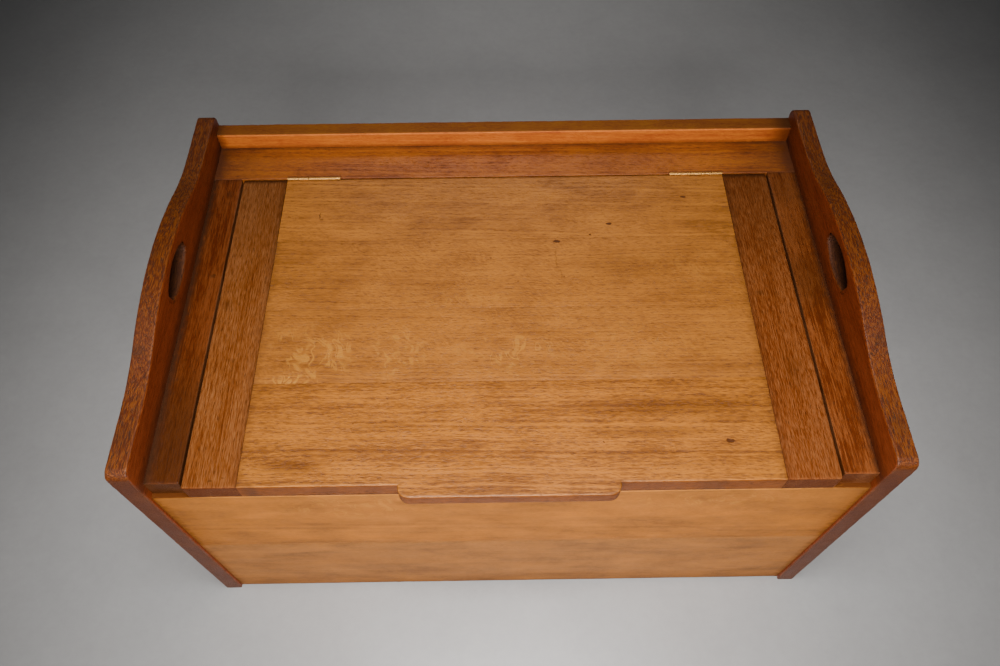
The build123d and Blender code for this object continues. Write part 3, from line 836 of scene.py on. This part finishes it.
        # The rear board is cut aslant, so more of its rings show, with the darkest spots and knocks
        dress("lid_board_4", wood(
            "Waxed oak, rear lid board", finish.lid, "X", "Y", (130, 40, 380), pith=(-260, -90), ring=3.4,
            tilt=0.03, contrast=0.65, fine=0.75, silk=0.35, mottle=0.9,
            stains_and_shade=(
                (115, 89, 1.9, 1.6, 0.4, 1.0), (142, 108, 4.2, 2.2, 0.35, 1.0),
                (251, 155, 4.6, 2.0, 0.35, 0.95), (-260, 129, 1.2, 6.0, 0.4, 0.75),
                (-257, 122, 3, 1.2, 0.5, 0.7),
            ),
            # A painted shadow darkens the board's back edge beside the gap to the rail
            dirt_and_shade=(("Z", 1, "Y", LID_BACK, 4, 0.4),),
        ))

        # Clamps: waxed oak sawn plain, redder and duller than the boards, with long coarse pores
        rub = Edge(arris, 0.8, 0.55, 0.1)
        # The back edge holds a painted shadow beside the gap to the rail
        back = rub._replace(worn=0, grime=0.4)
        for name, side, tone, fine, silk, dim, spots in (
            ("left", -1, finish.left_clamp, 1.8, 0.2, 0.36, (
                (-344, -261, 2.4, 1.7, 0.5, 0.6), (-331, -258, 1.7, 1.5, 0.5, 0.5),
                (-364, -20, 6, 9, 0.8, 0.35),
            )),
            ("right", 1, finish.right_clamp, 2.4, 0.7, 0.48, (
                (330, -11, 5, 5, 0.8, 0.5), (351, -128, 12, 26, 0.95, 0.22),
            )),
        ):
            node = f"{name}_lid_clamp"
            outline = sided(side, *corners(node), worn, rub, back, butt)
            outline = rounded(outline, {max(0, side): LID_CORNER})
            plank = board(f"{name}_clamp_plank", outline, "Z", LID_BOTTOM, LID_TOP, wear, 20 + side)
            fit(plank, "lid", "clamp_oak", wood(
                f"Waxed oak, {name} clamp", tone, "Y", "X", (90 * side, side * 345, 395), size=(1.5, 0.72),
                pith=(70 * side, -36), ring=2.8, contrast=0.5, fine=fine, silk=silk, mottle=0.6, pores=1.4,
                stains_and_shade=spots, lean=(1.7, 2.8), gloss=0.06, narrow=("Z", finish.frame_edge),
                # A painted shadow along the gap at the back, the clamp darker towards the back, and a dark
                # joint beside the boards
                dirt_and_shade=(
                    ("Z", 1, "Y", LID_BACK, 9, 0.8), ("Z", 1, "Y", LID_BACK, 270, dim),
                    ("Z", 1, "X", side * CLAMP_INNER_X, 1.6, 0.4),
                ),
            ), node)
        return {"FINISHED"}


class CHEST_OT_top_frame(bpy.types.Operator):
    """Make the fixed strips beside the lid and dress the hinge rail behind it"""

    bl_idname = "chest.top_frame"
    bl_label = "Strips and rail"
    bl_options = {"REGISTER", "UNDO"}

    def execute(self, context):
        finish, wear = context.scene.chest_finish, context.scene.chest_wear
        rub = Edge(1.3, 0.3, 0.6, 0)
        lip = rub._replace(worn=0.8)
        # Dirt and painted shade lie along the edge beside the end
        wall = Edge(0.2, 0.2, 0, 0.7)
        back = Edge(0.25, 0.2, 0, 0.5)
        # Strips: waxed oak like the clamps, darkened beside the ends by dirt and painted shade
        for name, side, tone, reach, dim, spots in (
            ("left", -1, finish.left_strip, 15, 0.7, (
                (-391, 28, 4.2, 3.4, 0.5, 0.55), (-403, -101, 4.0, 3.4, 0.6, 0.45),
                (-394, -144, 5, 7, 0.8, 0.4), (-392, 170, 6, 9, 0.8, 0.4),
                # The broad place over the front of the strip is painted shade
                (-398, -225, 60, 125, 0.9, 0.72),
            )),
            ("right", 1, finish.right_strip, 9, 0.45, (
                # From the second place on, painted shadow of the right end over the middle and back of the
                # strip
                (400, -60, 10, 40, 0.95, 0.15), (398, 10, 60, 60, 0.8, 0.52),
                (398, 90, 60, 60, 0.8, 0.33), (398, 165, 60, 50, 0.8, 0.45),
            )),
        ):
            node = f"{name}_top_strip"
            low, high = corners(node)
            outline = sided(side, low, high, lip, wall, back, rub)
            plank = board(f"{name}_strip_plank", outline, "Z", low.z, high.z, wear, 30 + side)
            fit(plank, "root", "frame_oak", wood(
                f"Waxed oak, {name} strip", tone, "Y", "X", (-140 * side, side * 400, 398),
                size=(1.5, 0.75), pith=(55 * side, 60), ring=3.1, contrast=0.9, fine=2.2, mottle=1.8,
                pores=1.3, stains_and_shade=spots, lean=(1.6, 2.6), gloss=0.12, narrow=("Z", finish.frame_edge),
                # Dirt and painted shade darken the strip beside its end
                dirt_and_shade=(("Z", 1, "X", side * INNER_X, reach, dim),),
            ), node)
        # Rail: waxed oak, calm and straight in the grain, darkened along the gallery and the ends by dirt
        # and painted shade
        dress("hinge_rail", wood(
            "Waxed oak, hinge rail", finish.rail, "X", "Y", (-75, 230, 400), pith=(150, -70), ring=3.6,
            tilt=0.02, contrast=0.7, silk=0.4, mottle=1.1, lean=(1.25, 0.6),
            stains_and_shade=(
                (-300, 212, 3, 8, 0.7, 0.3), (-262, 216, 2.4, 7, 0.7, 0.28), (-225, 214, 3, 8, 0.7, 0.3),
                (-10, 240, 9, 8, 0.9, 0.32), (122, 236, 12, 8, 0.9, 0.3), (356, 238, 4, 3, 0.7, 0.35),
                # The two broad places at the ends are dirt and painted shade in the corners where the rail
                # meets the ends
                (150, 235, 90, 40, 0.9, 0.24), (424, 232, 25, 60, 0.8, 0.95),
                (-424, 232, 21, 60, 0.8, 0.9),
            ),
            # Dirt and painted shade along the gallery, a painted shadow at the gap to the lid, dirt and
            # painted shade in the corners at the ends, and the rail darker towards both ends
            dirt_and_shade=(
                ("Z", 1, "Y", RAIL_BACK, 9, 0.7), ("Z", 1, "Y", RAIL_FRONT, 3, 0.6),
                ("Z", 1, "X", -INNER_X, 14, 0.5), ("Z", 1, "X", INNER_X, 14, 0.4),
                ("Z", 1, "X", -INNER_X, 120, 0.6), ("Z", 1, "X", INNER_X, 130, 0.6),
            ),
        ))
        return {"FINISHED"}


def crest_height(y):
    """Height of an end's shaped top at a place along it."""
    rise = corners("left_end_upper_board")[1].z - SHOULDER_Z
    run = abs(y - CREST_Y)
    turn = rise * HOLLOW_RUN / HUMP_HALF
    crown_half = HUMP_HALF - HOLLOW_RUN
    if run < crown_half:
        sag = rise - turn
        bow = (crown_half**2 + sag**2) / (2 * sag)
        return SHOULDER_Z + rise - bow + math.sqrt(bow**2 - run**2)
    if run < HUMP_HALF:
        bow = (HOLLOW_RUN**2 + turn**2) / (2 * turn)
        return SHOULDER_Z + bow - math.sqrt(bow**2 - (HUMP_HALF - run) ** 2)
    return SHOULDER_Z


def hand_hole(edge):
    """The oval hand hole as an outline run clockwise, of four arcs that meet smoothly."""
    end_centre = HOLE_LENGTH / 2 - HOLE_END
    half_height = HOLE_HEIGHT / 2
    bow = (end_centre**2 + half_height**2 - HOLE_END**2) / (2 * (half_height - HOLE_END))
    turn = math.atan2(bow - half_height, end_centre)
    made = []
    for start, stop, centre, radius, steps in (
        (turn, -turn, (end_centre, 0), HOLE_END, 12),
        (-turn, turn - math.pi, (0, bow - half_height), bow, 24),
        (turn - math.pi, -turn - math.pi, (-end_centre, 0), HOLE_END, 12),
        (-turn - math.pi, turn - 2 * math.pi, (0, half_height - bow), bow, 24),
    ):
        for k in range(steps):
            angle = start + (stop - start) * k / steps
            y = CREST_Y + centre[0] + radius * math.cos(angle)
            made.append((Vector((y, HOLE_Z + centre[1] + radius * math.sin(angle))), edge))
    return made


class CHEST_OT_ends(bpy.types.Operator):
    """Make the two ends, each of three boards, with a shaped top and a hand hole"""

    bl_idname = "chest.ends"
    bl_label = "Ends"
    bl_options = {"REGISTER", "UNDO"}

    def execute(self, context):
        finish, wear = context.scene.chest_finish, context.scene.chest_wear
        arris = wear.end_arris / MM
        rub = Edge(arris, arris, 0.1, 0)
        top = rub._replace(worn=0.45)
        foot = rub._replace(worn=0, grime=0.6)
        for (name, side), (number, level) in product(SIDES, enumerate(("lower", "middle", "upper"))):
            node = f"{name}_end_{level}_board"
            low, high = corners(node)
            outline = rectangle(
                (low.y, low.z), (high.y, high.z), foot if level == "lower" else JOINT, rub, JOINT, rub,
            )
            holes, dirt_and_shade = (), ()
            if level == "upper":
                shoulders = rectangle((low.y, low.z), (high.y, SHOULDER_Z), JOINT, rub, top, rub)
                outline = rounded(shoulders, {2: END_CORNER, 3: END_CORNER})
                crest = []
                y = high.y - END_CORNER
                while y - CREST_STEP > low.y + END_CORNER:
                    y -= CREST_STEP
                    crest.append((Vector((y, crest_height(y))), top))
                # The crest runs between the two rounded corners
                outline[-CORNER_STEPS - 1 : -CORNER_STEPS - 1] = crest
                # Dirt and painted shade darken the hand hole's walls, the inner face just above the strip
                # and the corner at the back wall
                holes = (hand_hole(Edge(3.0, 3.0, 0.25, 0.8)),)
                dirt_and_shade = (("X", -side, "Z", LID_TOP, 20, 0.75), ("X", -side, "Y", RAIL_BACK, 55, 0.45))
            plank = board(
                f"{name}_end_{level}_plank", outline, "X", low.x, high.x, wear, 40 + 3 * number + side,
                holes=holes, grid=18,
            )
            # Waxed oak, sawn plain and planed: red-brown and smooth on the face, coarse and dark
            # across the narrow faces, which hands have rubbed and knocked
            fit(plank, "root", "end_oak", wood(
                f"Waxed oak, {name} end, {level} board", finish.end, "Y", "Z",
                (55 * side + 170 * number, 160 * number, side * 432), pith=(60 - 80 * number, side * 120),
                ring=3.3, tilt=0.02, size=(1.3, 0.8), contrast=0.5, fine=1.5, mottle=0.25, pores=0.9,
                gloss=0.3, lean=(1.5, 2.2), narrow=("X", finish.end_edge), dirt_and_shade=dirt_and_shade,
                stains_and_shade=(
                    (side * 437, -119, 9, 9, 0.7, 0.45), (side * 434, -225, 12, 16, 0.8, 0.35),
                    (side * 434, 138, 14, 40, 0.9, 0.3), (side * 437, 11, 8, 12, 0.8, 0.3),
                    # Painted shade over the back half of the end
                    (side * 432, 210, 40, 190, 0.9, 0.13),
                ),
            ), node)
        return {"FINISHED"}


class CHEST_OT_walls(bpy.types.Operator):
    """Make the front wall of two boards and the back wall of three"""

    bl_idname = "chest.walls"
    bl_label = "Front and back"
    bl_options = {"REGISTER", "UNDO"}

    def execute(self, context):
        finish, wear = context.scene.chest_finish, context.scene.chest_wear
        # Dirt and painted shade lie along the corners at the ends
        side = Edge(0.2, 0.2, 0, 0.7)
        foot = Edge(0.9, 0.9, 0.3, 0.5)
        scratch = tuple((155 + 12 * k, 281 - 4.6 * k, 9, 1.8, 0.6, 0.34) for k in range(11))
        # Waxed oak, sawn plain from wide boards: broad soft clouds of colour with little contrast,
        # and less shine than the lid, because the walls are seldom waxed and never rubbed
        for wall, slot, looks, rows in (
            ("front", "front_oak", {"mottle": 1.1, "lean": (0.9, 0.5)}, (
                ("lower", finish.front_lower, foot, JOINT, (-180, 60), 4.5, 0.25, {
                    "stains_and_shade": (
                        (-116, 60, 70, 16, 0.9, 0.22), (-280, 40, 90, 14, 0.9, 0.18),
                        (60, 30, 130, 12, 0.9, 0.14), (-190, 125, 170, 42, 0.9, 0.13),
                    ),
                    # The lower board darkens towards the bottom
                    "dirt_and_shade": (("Y", -1, "Z", 0.0, 60, 0.3),),
                }),
                # The top arris is worn pale, with a painted highlight along it
                ("upper", finish.front, JOINT, Edge(1.5, 1.6, 1, 0), (30, 52), 6.5, 0.3, {
                    "rays": ((-190, 345, 90, 40, 0.7, 0.4), (240, 352, 110, 26, 0.7, 0.4)),
                    "stains_and_shade": (
                        *scratch, (-360, 250, 16, 5, 0.9, 0.25), (-250, 284, 30, 6, 0.9, 0.2),
                        (-284, 207, 14, 5, 0.9, 0.2), (-208, 341, 34, 5, 0.9, 0.16),
                        (-190, 358, 26, 3, 0.9, 0.16),
                    ),
                    # Dirt and painted shade in the corners at the ends, and on the top edge where the strips
                    # shade it
                    "dirt_and_shade": (
                        ("Y", -1, "X", -INNER_X, 40, 0.3), ("Y", -1, "X", INNER_X, 30, 0.2),
                        ("Z", 1, "X", -STRIP_X, 90, 2.1), ("Z", 1, "X", STRIP_X, 80, 1.7),
                    ),
                }),
            )),
            ("back", "back_oak", {"mottle": 0.6, "lean": (1.6, 0.8), "narrow": ("Y", finish.back_edge)}, (
                ("lower", finish.back, foot, JOINT, (80, 90), 4.0, 0.7, {}),
                ("middle", finish.back, JOINT, JOINT, (-60, 70), 4.0, 0.7, {}),
                # The gallery's top arris is worn pale, with a painted highlight along it
                ("upper", finish.back, JOINT, Edge(2.5, 2.6, 1, 0), (-20, -60), 4.2, 0.6, {
                    # Dirt and painted shade in the corners at the ends, and along the face just above the
                    # lid
                    "stains_and_shade": ((425, 425, 33, 60, 0.8, 1.0), (-424, 425, 15, 60, 0.8, 0.8)),
                    "dirt_and_shade": (("Y", -1, "Z", LID_TOP, 8, 0.7),),
                }),
            )),
        ):
            for level, tone, bottom, top, pith, ring, contrast, spots in rows:
                node = f"{wall}_{level}_board"
                low, high = corners(node)
                outline = rectangle((-INNER_X, low.z), (INNER_X, high.z), bottom, side, top, side)
                seed = len(node) + int(low.z)
                plank = board(f"{wall}_{level}_plank", outline, "Y", low.y, high.y, wear, seed)
                fit(plank, "root", slot, wood(
                    f"Waxed oak, {wall} {level} plank", tone, "X", "Z",
                    (int(low.z) * 1.7, (low.z + high.z) / 2, low.y), pith=pith, ring=ring, tilt=0.035,
                    contrast=contrast, fine=0.65, pores=0.3, matt=0.25, gloss=0.1, plane="XZ",
                    **looks, **spots,
                ), node)
        return {"FINISHED"}


class CHEST_OT_inside(bpy.types.Operator):
    """Make the pine cleats and the bottom boards"""

    bl_idname = "chest.inside"
    bl_label = "Inside"
    bl_options = {"REGISTER", "UNDO"}

    def execute(self, context):
        finish, wear = context.scene.chest_finish, context.scene.chest_wear
        # Planed pine, never waxed: pale yellow wood with wide soft rings and hardly any pores.
        # The six bottom boards differ a little, as boards from different trees do
        pine = {"contrast": 0.8, "mottle": 0.5, "pores": 0.15}
        tongue = Edge(0.7, 0.3, 0, 0.9)
        for number, share in enumerate((1, 0.9, 1.03, 0.86, 1, 0.93), 1):
            node = f"bottom_board_{number}"
            low, high = corners(node)
            if number < 6:
                high.x = corners(f"bottom_board_{number + 1}")[0].x
            outline = rectangle(low, high, SAWN, tongue, SAWN, tongue)
            plank = board(f"bottom_plank_{number}", outline, "Z", low.z, high.z, wear, 60 + number)
            fit(plank, "root", "carcase_pine", wood(
                f"Planed pine, bottom board {number}", tuple(share * part for part in finish.pine), "Y", "X",
                (210 * number, (low.x + high.x) / 2, 40), pith=(20 * (number % 3) - 15, -30 - 9 * number),
                ring=5.5, tilt=0.015, **pine,
                dirt_and_shade=(("Z", 1, "X", low.x, 3.5, 0.85), ("Z", 1, "X", high.x, 3.5, 0.85)),
            ), node)
        for node in sorted(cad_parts):
            if not node.endswith("cleat"):
                continue
            low, high = corners(node)
            along, across = "XY" if high.x - low.x > high.y - low.y else "YX"
            run, width = "XY".index(along), "XY".index(across)
            outline = rectangle((low[width], low.z), (high[width], high.z), PLANED, PLANED, PLANED, PLANED)
            batten = board(f"{node}_batten", outline, along, low[run], high[run], wear, len(node))
            fit(batten, "root", "carcase_pine", wood(
                f"Planed pine, {node.replace('_', ' ')}", finish.pine, along, across,
                (90, low[width], low.z), pith=(30, -20), ring=4.5, **pine,
            ), node)
        return {"FINISHED"}


class CHEST_OT_hinges(bpy.types.Operator):
    """Dress the brass butt hinges"""

    bl_idname = "chest.hinges"
    bl_label = "Hinges"
    bl_options = {"REGISTER", "UNDO"}

    def execute(self, context):
        # Drawn brass: a warm yellow shine in lines along the knuckles, dulled by a thin brown film.
        # The lines are drawn 2 mm apart, coarser than the real ones, so that they show
        brass = metal("Drawn brass", context.scene.chest_finish.brass, 0.4, 2.0, 0.25)
        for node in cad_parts:
            if "_hinge_" in node and node.endswith(("leaf", "pin")):
                dress(node, brass)
        return {"FINISHED"}


# Screws and nails

# A head's top edge is broken by 0.12 mm and drawn in to 0.93 of the head
CHAMFER, TOP_SHARE = 0.12, 0.93
# The whole head below the slot is a little smaller, and rises 0.11 mm into the two halves
CORE_SHARE, CORE_RISE = 0.995, 0.11


def screw_head(name, radius, slot_half, slot_depth, height):
    """A slotted head, its top at z = 0, in mm."""
    places, faces = [], []

    def prism(outline, top, bottom):
        first = len(places)
        for x, y in outline:
            slot_side = slot_half if y > 0 else -slot_half
            kept = (1 - TOP_SHARE) * slot_side if abs(y) >= slot_half else 0
            places.append((x * TOP_SHARE, y * TOP_SHARE + kept, top))
        places.extend((x, y, top - CHAMFER) for x, y in outline)
        places.extend((x, y, bottom) for x, y in outline)
        n = len(outline)
        faces.append(tuple(first + i for i in range(n)))
        for level in (0, 1):
            for i in range(n):
                j = (i + 1) % n
                a, b = first + level * n + i, first + level * n + j
                faces.append((a, b, b + n, a + n))
        faces.append(tuple(first + 2 * n + i for i in reversed(range(n))))

    start = math.asin(slot_half / radius)
    turns = [start + (math.pi - 2 * start) * k / 10 for k in range(11)]
    half = [(radius * math.cos(turn), radius * math.sin(turn)) for turn in turns]
    prism(half, 0, -slot_depth)
    prism([(-x, -y) for x, y in half], 0, -slot_depth)
    core = radius * CORE_SHARE
    whole = [(core * math.cos(k * math.pi / 10), core * math.sin(k * math.pi / 10)) for k in range(20)]
    prism(whole, -slot_depth + CORE_RISE, -height)
    return plain_mesh(name, np.array(places) * MM, faces)


def nail_head(name, radius, height):
    """A domed nail head, its top at z = 0, in mm."""
    places, faces = [(0, 0, 0)], []
    rings = ((0.45, -0.04), (0.8, -0.14), (0.97, -0.34), (1.0, -0.6), (0.5, -height))
    turns = [k * math.pi / 6 for k in range(12)]
    for share, z in rings:
        places += [(radius * share * math.cos(turn), radius * share * math.sin(turn), z) for turn in turns]
    faces += [(0, 1 + k, 1 + (k + 1) % 12) for k in range(12)]
    for level in range(len(rings) - 1):
        for k in range(12):
            a, b = 1 + level * 12 + k, 1 + level * 12 + (k + 1) % 12
            faces.append((a, a + 12, b + 12, b))
    faces.append(tuple(1 + (len(rings) - 1) * 12 + k for k in range(12)))
    return plain_mesh(name, np.array(places) * MM, faces)


def islands(made):
    """The separate shells of a bmesh, each as the places of its points."""
    seen = set()
    for vertex in made.verts:
        if vertex in seen:
            continue
        island, queue = [], [vertex]
        seen.add(vertex)
        while queue:
            here = queue.pop()
            island.append(here.co.copy())
            for edge in here.link_edges:
                other = edge.other_vert(here)
                if other not in seen:
                    seen.add(other)
                    queue.append(other)
        yield island


def fastener_places(node):
    """Where the head of each of a CAD node's screws or nails is, and the way it faces, in metres."""
    copy = bmesh.new()
    copy.from_mesh(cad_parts[node].data)
    bmesh.ops.remove_doubles(copy, verts=copy.verts, dist=1e-6)
    found = []
    for island in islands(copy):
        low = Vector(min(p[i] for p in island) for i in range(3))
        high = Vector(max(p[i] for p in island) for i in range(3))
        size = high - low
        axis = max(range(3), key=lambda i: size[i])
        middle = (low + high) / 2
        # The head is the end with the greater girth
        girths = [
            max(
                abs(p[i] - middle[i]) for p in island if abs(p[axis] - end) < 0.0006
                for i in range(3) if i != axis
            )
            for end in (low[axis], high[axis])
        ]
        head_high = girths[1] > girths[0]
        aim = Vector((0, 0, 0))
        aim[axis] = 1 if head_high else -1
        middle[axis] = high[axis] if head_high else low[axis]
        found.append((middle, aim))
    copy.free()
    return found


def fastener_tree(name):
    """Sets one head on every point, facing its own aim, each turned and sunk a little differently."""
    tree = bpy.data.node_groups.new(name, "GeometryNodeTree")
    for label, way, kind in (
        ("Places", "INPUT", "Geometry"), ("Head", "INPUT", "Object"), ("Deepest sink", "INPUT", "Float"),
        ("Seed", "INPUT", "Int"), ("Metal", "INPUT", "Material"), ("Heads", "OUTPUT", "Geometry"),
    ):
        tree.interface.new_socket(label, in_out=way, socket_type=f"NodeSocket{kind}")
    new = partial(add, tree)
    given = new("NodeGroupInput").outputs
    aim = new("GeometryNodeInputNamedAttribute", {"Name": "aim"}, data_type="FLOAT_VECTOR")
    turn, sink = (
        new("FunctionNodeRandomValue", {"Min": 0.0, "Max": most, "Seed": given["Seed"]}, data_type="FLOAT")
        for most in (math.tau, given["Deepest sink"])
    )
    facing = new("FunctionNodeAlignRotationToVector", {"Vector": aim}, axis="Z")
    spin = new("FunctionNodeAxisAngleToRotation", {"Axis": (0, 0, 1), "Angle": turn})
    turned = new(
        "FunctionNodeRotateRotation", {"Rotation": facing, "Rotate By": spin}, rotation_space="LOCAL",
    )
    sunk = new("scaled", {0: aim, "Scale": new("times", (sink, -1))})
    set_down = new("GeometryNodeSetPosition", {"Geometry": given["Places"], "Offset": sunk})
    head = new("GeometryNodeObjectInfo", {"Object": given["Head"]}, transform_space="ORIGINAL")
    heads = new("GeometryNodeInstanceOnPoints", {
        "Points": set_down, "Instance": head.outputs["Geometry"], "Rotation": turned,
    })
    real = new("GeometryNodeRealizeInstances", {"Geometry": heads})
    painted = new("GeometryNodeSetMaterial", {"Geometry": real, "Material": given["Metal"]})
    new("NodeGroupOutput", (painted,))
    return tree


def set_heads(name, node, body, slot, head, material, sink, seed):
    """The heads of one CAD node's screws or nails, as one plain mesh."""
    found = fastener_places(node)
    mesh = bpy.data.meshes.new(f"{name}_places")
    mesh.from_pydata([tuple(place) for place, _ in found], [], [])
    aims = [part for _, aim in found for part in aim]
    mesh.attributes.new("aim", "FLOAT_VECTOR", "POINT").data.foreach_set("vector", aims)
    holder = in_scene(f"{name}_places", mesh)
    modifier = holder.modifiers.new("Heads", "NODES")
    modifier.node_group = bpy.data.node_groups.get("Set heads") or fastener_tree("Set heads")
    values = {"Head": head, "Deepest sink": sink, "Seed": seed, "Metal": material}
    for socket in modifier.node_group.interface.items_tree:
        if socket.name in values:
            modifier[socket.identifier] = values[socket.name]
    holder.update_tag()
    bpy.context.view_layer.update()
    seen = holder.evaluated_get(bpy.context.evaluated_depsgraph_get())
    result = bpy.data.meshes.new_from_object(seen)
    result.name = name
    bpy.data.objects.remove(holder)
    fit(in_scene(name, result), body, slot, material, node)


class CHEST_OT_fastenings(bpy.types.Operator):
    """Set the heads of the screws and nails with Geometry Nodes"""

    bl_idname = "chest.fastenings"
    bl_label = "Screws and nails"
    bl_options = {"REGISTER", "UNDO"}

    def execute(self, context):
        finish = context.scene.chest_finish
        # Cut steel, bright once: grey, with a dull brown film over most of it
        steel = ("fixing_steel", metal("Bright steel gone dull", finish.steel, 0.38, 0.3, 0.75))
        # Turned brass: yellower than the hinges, scratched by the driver and half dulled
        brass = ("screw_brass", metal("Turned brass screws", finish.screw, 0.3, 0.3, 0.5))
        wood_head = screw_head("wood_head", 4.0, 0.45, 0.8, 2.4)
        hinge_head = screw_head("hinge_head", 3.2, 0.4, 0.7, 1.5)
        nail = nail_head("nail_head", 2.3, 1.0)
        for seed, (name, node, body, (slot, material), head, sink) in enumerate((
            ("top_cleat_screw_heads", "top_cleat_screws", "root", steel, wood_head, 0.3),
            ("top_frame_screw_heads", "top_frame_screws", "root", steel, wood_head, 0.3),
            ("bottom_cleat_screw_heads", "bottom_cleat_screws", "root", steel, wood_head, 0.3),
            ("bottom_nail_heads", "bottom_board_nails", "root", steel, nail, 0.2),
            ("rail_hinge_screw_heads", "rail_hinge_screws", "root", brass, hinge_head, 0.1),
            ("lid_hinge_screw_heads", "lid_hinge_screws", "lid", brass, hinge_head, 0.1),
        )):
            set_heads(name, node, body, slot, head, material, sink * MM, seed)
        for head in (wood_head, hinge_head, nail):
            bpy.data.objects.remove(head)
        return {"FINISHED"}


# The stage, in metres and degrees

# Worked out from the straight edges of the real chest
CAMERA_PLACE = (-0.0153, -0.60385, 1.2703)
CAMERA_PITCH, CAMERA_YAW, CAMERA_ROLL = 58.02, 0.45, -0.43
FLOOR_REACH = 9.0


class CHEST_OT_stage(bpy.types.Operator):
    """Set the camera, the soft light, the floor and the dim room"""

    bl_idname = "chest.stage"
    bl_label = "Stage"
    bl_options = {"REGISTER", "UNDO"}

    def execute(self, context):
        stage = context.scene.chest_stage
        pitch, yaw, roll = (math.radians(turn) for turn in (CAMERA_PITCH, CAMERA_YAW, CAMERA_ROLL))
        ahead = Vector((math.sin(yaw) * math.cos(pitch), math.cos(yaw) * math.cos(pitch), -math.sin(pitch)))
        right = Vector((math.cos(yaw), -math.sin(yaw), 0))
        up = right.cross(ahead)
        turned_right = right * math.cos(roll) + up * math.sin(roll)
        turned_up = up * math.cos(roll) - right * math.sin(roll)
        turned = Matrix((turned_right, turned_up, -ahead)).transposed().to_4x4()
        camera = in_scene("camera", bpy.data.cameras.new("camera"))
        camera.data.lens = stage.lens
        camera.data.sensor_width = 36
        camera.data.clip_start = 0.01
        camera.matrix_world = Matrix.Translation(CAMERA_PLACE) @ turned
        context.scene.camera = camera

        # Three lights from above shine in the wax, and three low ones only fill the shadows
        for name, place, target, size, share, spread, shines in (
            ("key", (0.0, -1.45, 1.35), (0.0, -0.25, 0.25), (0.9, 0.5), 0.5, 64, True),
            ("top", (0.0, -0.4, 2.15), (0.0, -0.33, 0.0), (0.8, 0.4), 0.42, 70, True),
            ("back", (0.0, 1.6, 1.7), (0.0, 0.9, 0.0), (1.2, 0.6), 0.12, 70, True),
            ("left", (-3.6, -0.3, 0.25), (-0.4, 0.0, 0.22), (1.2, 0.4), 0.11, 30, False),
            ("right", (3.6, -0.3, 0.25), (0.4, 0.0, 0.22), (1.2, 0.4), 0.11, 30, False),
            ("rear", (0.0, 3.8, 0.25), (0.0, 0.3, 0.22), (1.6, 0.4), 0.12, 34, False),
        ):
            light = bpy.data.lights.new(name, "AREA")
            light.shape = "RECTANGLE"
            light.size, light.size_y = size
            light.energy = share * stage.key_power
            light.spread = math.radians(spread)
            lamp = in_scene(name, light)
            lamp.visible_camera = False
            lamp.visible_glossy = shines
            lamp.location = place
            lamp.rotation_euler = (Vector(target) - Vector(place)).to_track_quat("-Z", "Y").to_euler()

        world = bpy.data.worlds.new("Dim room")
        world.use_nodes = True
        world.node_tree.nodes.clear()
        dim = {"Color": (*hex_tone("#F3F9FF"), 1), "Strength": 0.05}
        room = add(world.node_tree, "ShaderNodeBackground", dim)
        add(world.node_tree, "ShaderNodeOutputWorld", {"Surface": room})
        context.scene.world = world

        mesh = bpy.data.meshes.new("floor")
        spots = [(x * FLOOR_REACH, y * FLOOR_REACH, 0) for x, y in ((-1, -1), (1, -1), (1, 1), (-1, 1))]
        mesh.from_pydata(spots, [], [(0, 1, 2, 3)])
        mesh.materials.append(concrete("Sealed concrete floor", stage.floor))
        in_scene("floor", mesh)
        return {"FINISHED"}


class CHEST_PT_panel(bpy.types.Panel):
    """Lists the chest's settings and the operators that make its pieces"""

    bl_label = "Blanket chest"
    bl_idname = "CHEST_PT_panel"
    bl_space_type = "VIEW_3D"
    bl_region_type = "UI"
    bl_category = "Chest"

    def draw(self, context):
        scene = context.scene
        for group in (scene.chest_finish, scene.chest_wear, scene.chest_stage):
            box = self.layout.box()
            for label in group.__annotations__:
                box.prop(group, label)
        for operator in OPERATORS:
            self.layout.operator(operator.bl_idname)


OPERATORS = (
    CHEST_OT_stage, CHEST_OT_lid, CHEST_OT_top_frame, CHEST_OT_ends, CHEST_OT_walls, CHEST_OT_inside,
    CHEST_OT_hinges, CHEST_OT_fastenings,
)
CLASSES = (ChestFinish, ChestWear, ChestStage, *OPERATORS, CHEST_PT_panel)


def register():
    for made in CLASSES:
        bpy.utils.register_class(made)
    bpy.types.Scene.chest_finish = PointerProperty(type=ChestFinish)
    bpy.types.Scene.chest_wear = PointerProperty(type=ChestWear)
    bpy.types.Scene.chest_stage = PointerProperty(type=ChestStage)


def unregister():
    del bpy.types.Scene.chest_finish, bpy.types.Scene.chest_wear, bpy.types.Scene.chest_stage
    for made in reversed(CLASSES):
        bpy.utils.unregister_class(made)


def main():
    register()
    for operator in OPERATORS:
        group, name = operator.bl_idname.split(".")
        getattr(getattr(bpy.ops, group), name)()


if __name__ == "__main__":
    main()
